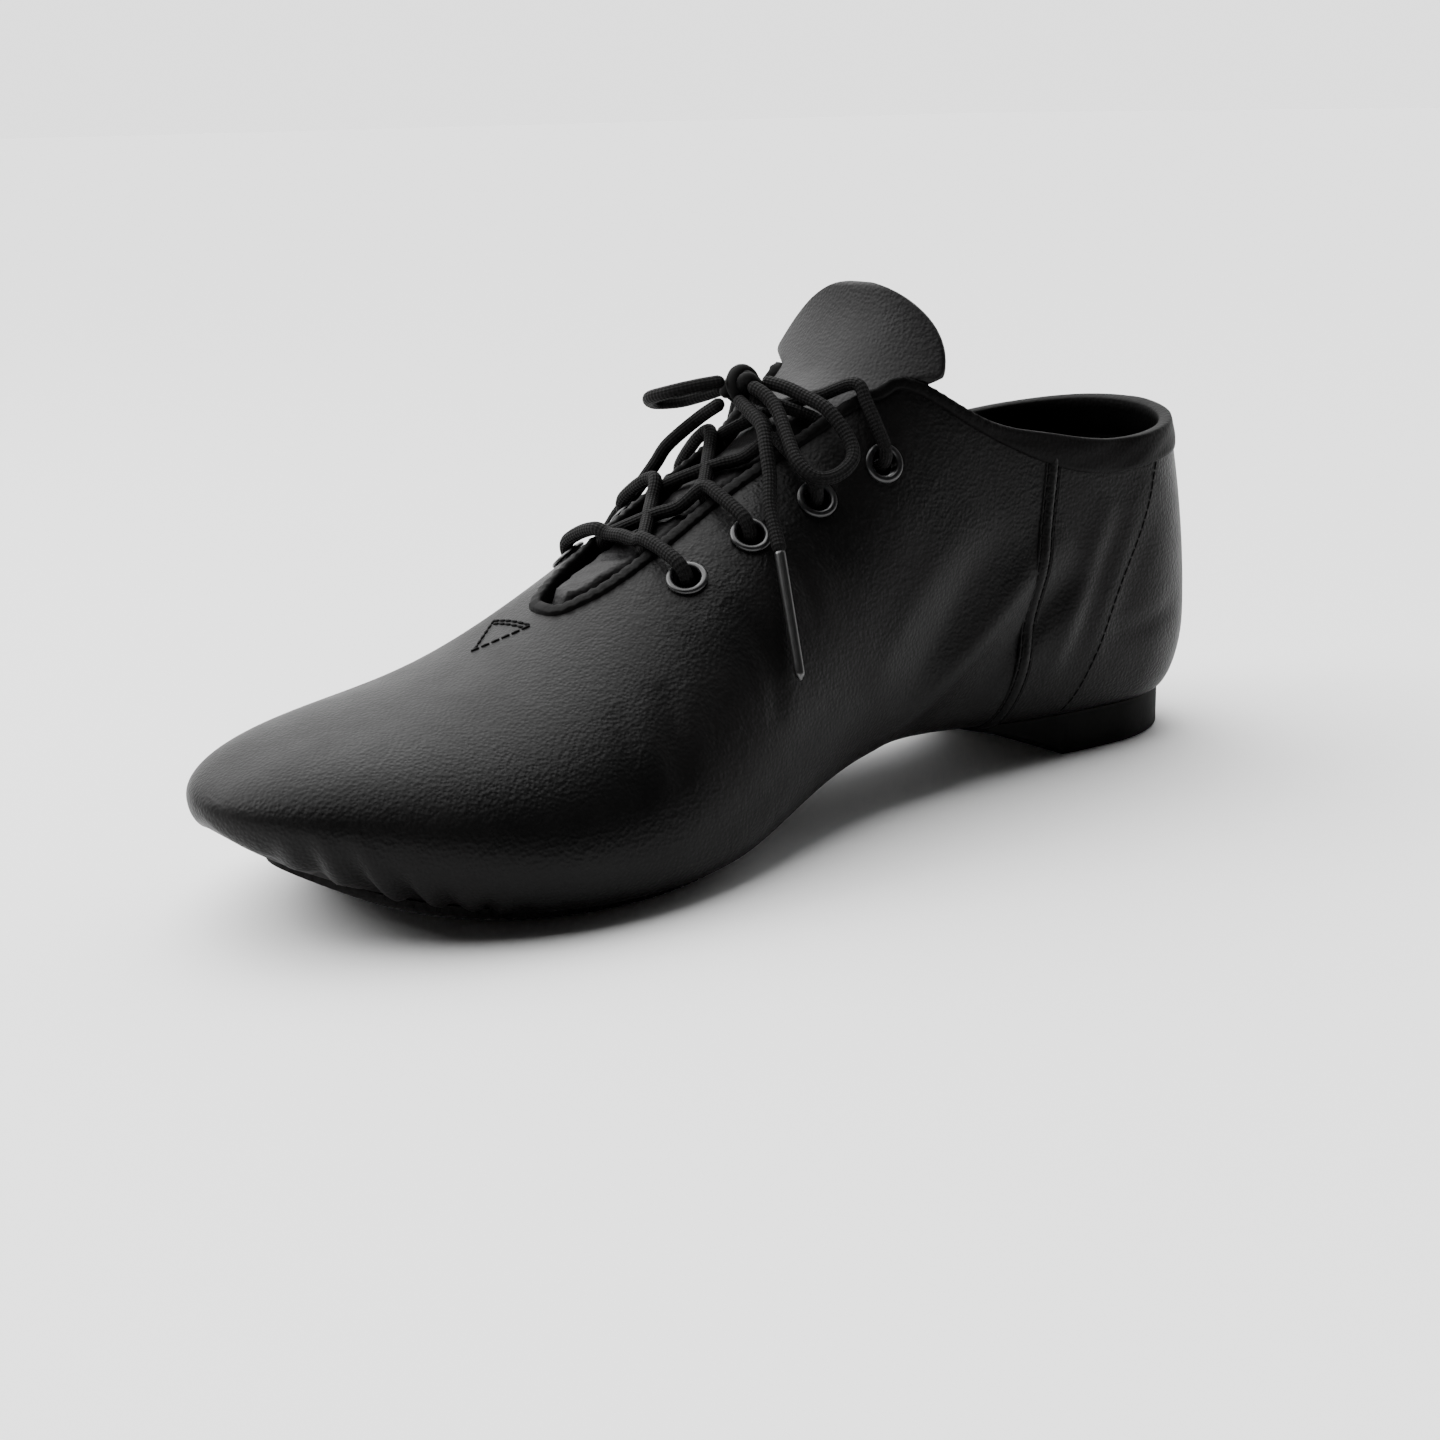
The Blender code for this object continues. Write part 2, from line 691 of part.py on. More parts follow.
def cut_eyelets(upper):
    """Cut the eyelets' holes through the upper's wall."""
    radius = EYELET_HOLE / 2 + EYELET_TUBE + GAP
    vertices = []
    faces = []
    for pair in range(len(EYELETS)):
        for side in (-1, 1):
            place, facing = eyelet_frame(pair, side)
            spin = Vector(facing).to_track_quat("Z", "Y").to_matrix().to_4x4()
            matrix = Matrix.Translation(Vector(place)) @ spin
            start = len(vertices)
            for height in (-CUTTER_REACH, CUTTER_REACH):
                for k in range(EYELET_SEGMENTS):
                    angle = 2 * math.pi * k / EYELET_SEGMENTS
                    corner = Vector((radius * math.cos(angle), radius * math.sin(angle), height))
                    vertices.append(matrix @ corner)
            low = list(range(start, start + EYELET_SEGMENTS))
            high = [index + EYELET_SEGMENTS for index in low]
            faces += [tuple(reversed(low)), tuple(high)]
            for k in range(EYELET_SEGMENTS):
                after = (k + 1) % EYELET_SEGMENTS
                faces.append((low[k], low[after], high[after], high[k]))
    cutter = add_mesh("eyelet_cutter", vertices, faces, None)
    cutter.hide_render = True
    cutter.display_type = "WIRE"
    cut = upper.modifiers.new("eyelet holes", "BOOLEAN")
    cut.operation = "DIFFERENCE"
    cut.object = cutter
    cut.solver = "EXACT"


def rounded_rows(start, end, count):
    """Stations from start to end, closest together at both ends."""
    return start + (end - start) * (1 - np.cos(np.linspace(0, np.pi, count))) / 2


def end_round(station, start, end, blend):
    """1 along a piece, falling to 0 at both of its rounded ends."""
    near = np.clip(1 - (station - start) / blend, 0, 1)
    far = np.clip(1 - (end - station) / blend, 0, 1)
    return math.sqrt(max(0.0, 1 - near**2)) * math.sqrt(max(0.0, 1 - far**2))


def build_forefoot_sole(material):
    """The separate sole under the ball: level on the floor, rising under the toe and arch."""
    rows = rounded_rows(SOLE_START, SOLE_END, 25)

    def place(drop):
        def point(row, share):
            side = -1 if share < 0 else 1
            ends = end_round(row, SOLE_START, SOLE_END, SOLE_ROUND)
            reach = (feather_edge(row, side) - SOLE_INSET) * ends
            z = bottom(row) - GAP - drop
            return np.array([LENGTH * (0.5 - row), shift(row) + share * reach, max(z, 0.0)])
        return point

    top = surface_grid(rows, ACROSS, place(0.0))
    under = surface_grid(rows, ACROSS, place(SOLE_THICKNESS))
    return add_slab("forefoot_sole", top, under, material)


def build_heel(material):
    """The low heel block: level underneath, with a hollow breast that runs out to a thin tip."""
    back = HEEL_BACK + (HEEL_ROUND - HEEL_BACK) * (1 - np.cos(np.linspace(0, np.pi / 2, 10)))
    seat = [0.15, 0.175, HEEL_BREAST]
    breast = np.linspace(HEEL_BREAST, HEEL_TIP, 9)[1:]
    rows = np.concatenate([back, seat, breast])

    def place(under):
        def point(row, share):
            side = -1 if share < 0 else 1
            front = np.clip(1 - (HEEL_TIP - row) / HEEL_TIP_ROUND, 0, 1)
            reach = feather_edge(row, side) * math.sqrt(1 - front**2)
            top = bottom(row) - GAP
            x = LENGTH * (0.5 - row) - back_shift(row, bottom(row))
            run = np.clip((row - HEEL_BREAST) / (HEEL_TIP - HEEL_BREAST), 0, 1)
            low = (top - HEEL_TIP_THICKNESS) * math.sin(math.pi / 2 * run) ** HEEL_HOLLOW
            return np.array([x, shift(row) + share * reach, low if under else top])
        return point

    top = surface_grid(rows, ACROSS, place(False))
    under = surface_grid(rows, ACROSS, place(True))
    return add_slab("heel", top, under, material)


def build_insole(material):
    """The footbed lying on the upper's turned-in margin, over both openings."""
    rows = 1 - (1 + np.cos(np.linspace(0, np.pi, 27))) / 2

    def place(height):
        def point(row, share):
            side = -1 if share < 0 else 1
            inset = INSOLE_HEEL_INSET if row < 0.5 else INSOLE_TOE_INSET
            x = LENGTH * (0.5 - row) * (1 - 2 * inset / LENGTH)
            seat = bottom(0.5 - x / LENGTH) + UPPER_WALL + INSOLE_SEAT
            reach = max(feather_edge(row, side) - INSOLE_SIDE_INSET, 0.0)
            return np.array([x, shift(row) + share * reach, seat + height])
        return point

    top = surface_grid(rows, ACROSS, place(INSOLE_THICKNESS))
    under = surface_grid(rows, ACROSS, place(0.0))
    return add_slab("insole", top, under, material)


def tongue_point(row, share):
    """A point of the tongue's outer face, share of the way out to its edge.

    row runs from 0 at the base to 1 where the tongue leaves the throat, under the last's
    crown, and on to 2 at the top of its standing part, which the collar's wall holds in.
    """
    side = -1 if share < 0 else 1
    rise = max(row - 1.0, 0.0)
    station = TONGUE_BASE + (TONGUE_LEAVE - TONGUE_BASE) * min(row, 1.0) - STAND_GLIDE * rise
    arc = abs(share) * BALL_WIDTH * tongue_share(station)
    sink = TONGUE_DROP * smooth((TONGUE_SINK_END - station) / TONGUE_SINK_RUN)
    depth = UPPER_WALL + GAP + sink
    low = on_crown(station, side, arc) - depth * crown_normal(station, side, arc)
    if rise == 0:
        return low
    taper = np.clip((rise - STAND_ROUND_FROM) / (1 - STAND_ROUND_FROM), 0, 1)
    out = abs(share) * STAND_WIDTH / 2 * math.sqrt(1 - taper**2.4)
    curl = (2 * out / STAND_WIDTH) ** 2
    x = LENGTH * (0.5 - stand_station(rise)) + curl * (STAND_CURL - side * STAND_TWIST)
    z = INSTEP_HEIGHT * stand_height(rise) - STAND_SAG * curl
    blend = smooth(rise / STAND_BLEND)
    point = low + (np.array([x, shift(station) + side * out, z]) - low) * blend
    beside = 0.5 - point[0] / LENGTH
    outline = side_outline(beside, side)
    wall = np.interp(point[2], outline[:, 2], np.abs(outline[:, 1] - outline[-1, 1]))
    clear = point[2] - INSTEP_HEIGHT * collar_height(beside) - STAND_FLARE_START
    above = np.clip(clear / STAND_FLARE_RISE, 0, 1) ** 0.7
    limit = wall - STAND_CLEARANCE + STAND_FLARE * above
    ease = 0.01 * STAND_CLEARANCE + STAND_FLARE_EASE * above
    free = abs(point[1] - shift(beside))
    point[1] = shift(beside) - side * ease * np.logaddexp(-free / ease, -limit / ease)
    return point


def build_tongue(material):
    """The tongue: a thin wall hanging inwards from its outer face."""
    standing = 1 + STAND_END * np.sin(np.linspace(0, np.pi / 2, 10)[1:])
    rows = np.concatenate([np.linspace(0, 1, 13), standing])
    columns = np.sin(np.linspace(-np.pi / 2, np.pi / 2, 11))
    outer = surface_grid(rows, columns, tongue_point)
    along = np.gradient(outer, axis=0)
    across = np.gradient(outer, axis=1)
    normal = np.cross(across, along)
    normal /= np.linalg.norm(normal, axis=2, keepdims=True)
    normal *= np.sign(normal[:, len(columns) // 2, 2])[:, None, None]
    return add_slab("tongue", outer, outer - TONGUE_THICKNESS * normal, material)


def smooth_route(route, spacing):
    """Points at an even spacing along a smooth curve through a route's points."""
    knots = np.array(route, float)
    padded = np.concatenate([[2 * knots[0] - knots[1]], knots, [2 * knots[-1] - knots[-2]]])
    fine = []
    for i in range(len(knots) - 1):
        p0, p1, p2, p3 = padded[i:i + 4]
        for t in np.linspace(0, 1, 12, endpoint=False):
            fine.append(
                0.5 * (2 * p1 + (p2 - p0) * t + (2 * p0 - 5 * p1 + 4 * p2 - p3) * t**2
                       + (3 * p1 - p0 - 3 * p2 + p3) * t**3)
            )
    fine = np.array(fine + [knots[-1]])
    run = run_lengths(fine)
    steps = np.linspace(0, run[-1], max(2, round(run[-1] / spacing)) + 1)
    return np.stack([np.interp(steps, run, fine[:, k]) for k in range(3)], axis=1)


def tube(points, radii, sides):
    """Vertices and faces of a closed round bar along points, carried without twisting."""
    points = [Vector(point) for point in points]
    vertices = []
    faces = []
    turn = Vector((0, 0, 1)).rotation_difference(points[1] - points[0])
    heading = points[1] - points[0]
    for i, point in enumerate(points):
        before = points[max(i - 1, 0)]
        after = points[min(i + 1, len(points) - 1)]
        turn = heading.rotation_difference(after - before) @ turn
        heading = after - before
        for k in range(sides):
            angle = 2 * math.pi * k / sides
            spoke = Vector((math.cos(angle), math.sin(angle), 0)) * radii[i]
            vertices.append(point + turn @ spoke)
    for i in range(len(points) - 1):
        for k in range(sides):
            a = i * sides + k
            b = i * sides + (k + 1) % sides
            faces.append((a, b, b + sides, a + sides))
    faces.append(tuple(reversed(range(sides))))
    faces.append(tuple(range((len(points) - 1) * sides, len(points) * sides)))
    return vertices, faces


def lace_point(station, arc, height):
    """A point above the last. arc is measured from the crest, below 0 on the outer side."""
    side = -1 if arc < 0 else 1
    return on_crown(station, side, abs(arc)) + height * crown_normal(station, side, abs(arc))


def eyelet_arcs(pair, side):
    """Distances from the crest to the throat's edge and to the eyelet's middle."""
    station, offset = EYELETS[pair]
    gap = run_lengths(side_outline(station, side))[-1] - edge_length(station, side)
    return gap, gap + offset


def into_eyelet(pair, side):
    """The lace's last stretch: over the throat's edge and down into the eyelet."""
    station = EYELETS[pair][0]
    places = dict(zip(("edge", "middle"), eyelet_arcs(pair, side)))
    return [lace_point(station, side * (places[anchor] + out), height) for anchor, out, height in ENTRY]


def build_crossings(material):
    """The lace between the eyelets: a bar at the foot of the throat, then crossing pairs."""
    foot = EYELETS[0][0]
    bar = list(reversed(into_eyelet(0, -1)))
    for share in (-0.5, 0.0, 0.5):
        bar.append(lace_point(foot, share * eyelet_arcs(0, 1)[0], LACE_BAR_OVER_TONGUE))
    routes = [bar + into_eyelet(0, 1)]
    for pair in range(len(EYELETS) - 1):
        for side in (-1, 1):
            start = EYELETS[pair][0]
            end = EYELETS[pair + 1][0]
            low = eyelet_arcs(pair, side)[0] - LACE_UNDER_REACH
            high = eyelet_arcs(pair + 1, -side)[0]
            route = [lace_point(start, side * low, LACE_UNDER_EDGE)]
            for share in (0.3, 0.5, 0.7):
                arc = side * low + (-side * high - side * low) * share
                route.append(lace_point(start + (end - start) * share, arc, LACE_OVER_TONGUE))
            routes.append(route + into_eyelet(pair + 1, -side))
    shapes = []
    for number, route in enumerate(routes):
        points = smooth_route(route, 1.1 * LACE_DIAMETER)
        radius = LACE_DIAMETER / 2 * (1 - LACE_THINNING * number)
        vertices, faces = tube(points, [radius] * len(points), LACE_SIDES)
        name = f"lace_part_{number}" if number else "lace_crossings"
        shapes.append(add_mesh(name, vertices, faces, material))
    crossings = shapes[0]
    for number, shape in enumerate(shapes[1:], start=1):
        shape.hide_render = True
        shape.display_type = "WIRE"
        join = crossings.modifiers.new(f"join {number}", "BOOLEAN")
        join.operation = "UNION"
        join.object = shape
        join.solver = "EXACT"
    return crossings


def build_cord(name, route, material):
    """A free stretch of the lace, as a round cord through a route's points."""
    points = smooth_route(route, LACE_DIAMETER)
    curve = bpy.data.curves.new(name, "CURVE")
    curve.dimensions = "3D"
    curve.bevel_depth = LACE_DIAMETER / 2
    curve.bevel_resolution = 2
    curve.use_fill_caps = True
    line = curve.splines.new("POLY")
    line.points.add(len(points) - 1)
    for spot, point in zip(line.points, points):
        spot.co = (*point, 1.0)
    line.use_smooth = True
    cord = bpy.data.objects.new(name, curve)
    bpy.context.collection.objects.link(cord)
    curve.materials.append(material)
    return cord


def build_aglet(name, cord_end, end, material):
    """The stiff tip of a lace end: a round rod with a domed point, just off the cord's end."""
    cord_end = np.array(cord_end)
    way = np.array(end) - cord_end
    start = cord_end + 2 * GAP * way / np.linalg.norm(way)
    outline = np.array(AGLET_OUTLINE)
    points = start + (end - start) * outline[:, :1]
    vertices, faces = tube(points, AGLET_DIAMETER / 2 * outline[:, 1], AGLET_SIDES)
    return add_mesh(name, vertices, faces, material, 60.0)


def build_knot(material):
    """The bow's knot, as a plain rounded lump."""
    form = bmesh.new()
    bmesh.ops.create_uvsphere(form, u_segments=14, v_segments=8, radius=1.0)
    bmesh.ops.scale(form, vec=KNOT_HALF_SIZES, verts=form.verts)
    bmesh.ops.translate(form, vec=KNOT_MIDDLE, verts=form.verts)
    mesh = bpy.data.meshes.new("lace_knot")
    form.to_mesh(mesh)
    form.free()
    mesh.shade_smooth()
    mesh.materials.append(material)
    knot = bpy.data.objects.new("lace_knot", mesh)
    bpy.context.collection.objects.link(knot)
    return knot


def main():
    """Build every piece of the shoe."""
    for shape in list(bpy.data.objects):
        bpy.data.objects.remove(shape)
    grain = leather("black grain leather", (0.012, 0.012, 0.013), 0.45)
    nap = leather("black tongue leather", (0.020, 0.019, 0.020), 0.55)
    suede = leather("black sole suede", (0.010, 0.010, 0.010), 0.9)
    rubber = leather("black heel rubber", (0.012, 0.012, 0.012), 0.6)
    lining = leather("dark insole cloth", (0.03, 0.03, 0.03), 0.9)
    braid = leather("black braided lace", (0.014, 0.014, 0.014), 0.7)
    enamel = metal("black enamelled eyelet", (0.05, 0.05, 0.05), 0.3)
    tip = leather("clear black lace tip", (0.03, 0.03, 0.03), 0.2)

    upper = build_upper(grain)
    cut_eyelets(upper)
    build_forefoot_sole(suede)
    build_heel(rubber)
    build_insole(lining)
    build_tongue(nap)
    for side, place in ((-1, "outer"), (1, "inner")):
        for pair in range(len(EYELETS)):
            build_eyelet(f"eyelet_{place}_{pair + 1}", pair, side, enamel)
    build_crossings(braid)
    build_knot(braid)
    build_cord("lace_loop_outer", OUTER_LOOP, braid)
    build_cord("lace_loop_inner", INNER_LOOP, braid)
    build_cord("lace_end_outer", OUTER_END, braid)
    build_cord("lace_end_inner", INNER_END, braid)
    build_aglet("aglet_outer", OUTER_END[-1], OUTER_AGLET_END, tip)
    build_aglet("aglet_inner", INNER_END[-1], INNER_AGLET_END, tip)


main()
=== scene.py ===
"""Looks of the split-sole jazz shoe: soft black leather, braided lace, suede and rubber.

Metres, +Z up. The toe points to -X, the outer side of the foot to -Y, and the soles stand
on z = 0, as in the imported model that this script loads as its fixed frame.
"""

from __future__ import annotations

import logging
import math

from collections.abc import Callable, Sequence
from dataclasses import dataclass
from enum import Enum

import bpy
import numpy as np
from mathutils import Matrix, Vector


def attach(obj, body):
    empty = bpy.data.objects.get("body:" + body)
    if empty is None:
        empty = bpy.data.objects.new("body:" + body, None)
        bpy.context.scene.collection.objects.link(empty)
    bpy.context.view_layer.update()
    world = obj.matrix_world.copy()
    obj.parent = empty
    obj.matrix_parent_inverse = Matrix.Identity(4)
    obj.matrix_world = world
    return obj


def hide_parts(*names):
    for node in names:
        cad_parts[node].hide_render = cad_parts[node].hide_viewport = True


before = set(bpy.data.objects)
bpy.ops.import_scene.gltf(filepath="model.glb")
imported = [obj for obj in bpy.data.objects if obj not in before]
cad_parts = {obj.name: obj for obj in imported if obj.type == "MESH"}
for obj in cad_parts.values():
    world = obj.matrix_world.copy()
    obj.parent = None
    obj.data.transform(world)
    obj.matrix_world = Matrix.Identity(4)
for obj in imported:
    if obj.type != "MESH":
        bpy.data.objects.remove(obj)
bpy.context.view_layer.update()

log = logging.getLogger("jazz_shoe")

Array = np.ndarray
Arrays = tuple[Array, ...]
Pair, Spot = tuple[float, float], tuple[float, float, float]
Table = Sequence[Sequence[float]]
Material, Socket = bpy.types.Material, bpy.types.NodeSocket

# Sizes of the last, in metres, and the materials' thicknesses.
LENGTH = 0.232
BALL_WIDTH = 0.085
INSTEP_HEIGHT = 0.060
HEEL_LIFT = 0.0065
ARCH_RISE = 0.0045
TOE_SPRING = 0.0092
TIP_HEIGHT = 0.0228
SOLE_THICKNESS = 0.0025
UPPER_WALL = 0.0016
GAP = 0.0003
BACK_LEAN = 0.0045
BACK_TUCK = 0.0040
BULGE_HEIGHT = 0.025
BACK_REACH = 0.30
HEEL_ROUND = 0.125
TOE_ROUND = 0.235
FLAT_START = 0.64
FLAT_END = 0.745
HEEL_SEAT_END = 0.23

# Sections of the last from the heel's back (station 0) to the toe's tip (station 1):
# station, outer and inner half width and sideways shift as shares of the ball width,
# heights of the widest line and the closed crest as shares of the instep height, width
# of the feather edge as a share of the half width, and the crown's shape.
SECTIONS = (
    (0.00, 0.325, 0.330, 0.006, 0.430, 2.300, 0.80, 0.95),
    (0.10, 0.325, 0.330, 0.006, 0.445, 2.250, 0.80, 0.95),
    (0.20, 0.322, 0.316, 0.006, 0.485, 2.150, 0.75, 0.95),
    (0.30, 0.316, 0.296, 0.014, 0.520, 2.000, 0.64, 0.92),
    (0.38, 0.328, 0.300, 0.019, 0.505, 1.720, 0.60, 0.88),
    (0.46, 0.360, 0.321, 0.022, 0.455, 1.310, 0.62, 0.86),
    (0.54, 0.413, 0.362, 0.024, 0.360, 1.100, 0.69, 0.88),
    (0.62, 0.476, 0.411, 0.024, 0.262, 0.930, 0.80, 0.97),
    (0.70, 0.512, 0.453, 0.023, 0.200, 0.760, 0.86, 1.00),
    (0.78, 0.500, 0.467, 0.021, 0.208, 0.630, 0.83, 0.96),
    (0.86, 0.460, 0.463, 0.017, 0.254, 0.575, 0.75, 0.90),
    (0.93, 0.420, 0.449, 0.013, 0.313, 0.555, 0.65, 0.86),
    (1.00, 0.397, 0.434, 0.013, 0.371, 0.536, 0.56, 0.85),
)

# Collar's edge: station and height as a share of the instep height.
COLLAR = (
    (0.00, 1.170), (0.05, 1.140), (0.10, 1.120), (0.16, 1.112), (0.21, 1.135), (0.25, 1.165),
    (0.29, 1.197), (0.32, 1.240), (0.35, 1.305), (0.38, 1.375), (0.42, 1.430), (0.50, 1.470),
)

# Throat's edge: station and half gap as a share of the ball width.
THROAT_END = 0.693
THROAT = (
    (0.38, 0.240), (0.41, 0.208), (0.44, 0.170), (0.48, 0.126), (0.52, 0.106), (0.57, 0.100),
    (0.62, 0.096), (0.65, 0.085), (0.67, 0.067), (0.683, 0.045), (0.690, 0.023), (THROAT_END, 0.0),
)
CORNER_BLEND = 0.0025
CORNER_LIFT = 0.006
CORNER_RUN = 0.035

# Eyelets: station, and distance out from the throat's edge.
EYELETS = ((0.616, 0.0113), (0.555, 0.0125), (0.490, 0.0135), (0.426, 0.0140))

# How finely the last is sampled: rows at the heel, between and at the toe; points from the
# feather edge to the widest line and from there to the crest; even steps of arc; and the
# lowest and highest place and the number of the heights at which its width is kept.
HEEL_ROWS, MIDDLE_ROWS, TOE_ROWS = 90, 520, 160
LOWER_POINTS, UPPER_POINTS, ARC_STEPS = 16, 90, 420
WIDTH_HEIGHTS = (0.020, 0.140, 240)


def natural_cubic(table: Table, column: int = 1) -> Callable[[Array], Array]:
    """Return the natural cubic spline through one column of a table.

    Between two rows the curve is a cubic whose bend is continuous and is zero at both ends.

    Args:
        table: Rows whose first value is the place along the shoe.
        column: The column that the curve passes through.

    Returns:
        A function that reads the curve at an array of places.
    """
    rows = np.array(table, float)
    x, y = rows[:, 0], rows[:, column]
    h = np.diff(x)
    system = np.eye(len(x))
    right = np.zeros(len(x))
    inner = np.arange(1, len(x) - 1)
    system[inner, inner - 1] = h[:-1]
    system[inner, inner] = 2 * (h[:-1] + h[1:])
    system[inner, inner + 1] = h[1:]
    right[inner] = 6 * (np.diff(y)[1:] / h[1:] - np.diff(y)[:-1] / h[:-1])
    bend = np.linalg.solve(system, right)

    def read(at: Array) -> Array:
        """Read the cubic.

        Args:
            at: Places, held to the table's first and last.

        Returns:
            The curve's values.
        """
        at = np.clip(np.asarray(at, float), x[0], x[-1])
        i = np.clip(np.searchsorted(x, at) - 1, 0, len(x) - 2)
        a, b = x[i + 1] - at, at - x[i]
        cubic = (bend[i] * a**3 + bend[i + 1] * b**3) / (6 * h[i])
        return (cubic + (y[i] / h[i] - bend[i] * h[i] / 6) * a
                + (y[i + 1] / h[i] - bend[i + 1] * h[i] / 6) * b)

    return read


def smooth(t: Array) -> Array:
    """Ease from 0 to 1 with level ends: three t squared minus two t cubed."""
    t = np.clip(t, 0.0, 1.0)
    return t * t * (3 - 2 * t)


def unit(vectors: Array) -> Array:
    """Scale each vector to length 1."""
    return vectors / np.maximum(np.linalg.norm(vectors, axis=-1, keepdims=True), 1e-12)


def run_lengths(points: Array) -> Array:
    """Distance along polylines (last axis but one) from the first point to each point."""
    steps = np.linalg.norm(np.diff(points, axis=-2), axis=-1)
    return np.concatenate([np.zeros((*steps.shape[:-1], 1)), np.cumsum(steps, axis=-1)], axis=-1)


def rowwise(at: Array, x: Array, y: Array) -> Array:
    """Interpolate y over x in each row, at the places of the same row of at.

    All rows are laid end to end on one line, each moved up by its own offset, so that one
    call of numpy's interp reads them all.

    Args:
        at: Places to read, one row for each row of x.
        x: Rising places of the known values.
        y: The known values.

    Returns:
        The values at the places, in the shape of at.
    """
    span = 1.0 + max(float(np.ptp(x)), float(np.ptp(at)))
    offset = 2 * span * np.arange(len(x))[:, None]
    lowest = min(float(x.min()), float(at.min()))
    source = (x - lowest + offset).ravel()
    return np.interp((at - lowest + offset).ravel(), source, y.ravel()).reshape(at.shape)


class Side(Enum):
    """The two sides of the foot; the value is the sign of y."""

    OUTER = -1
    INNER = 1


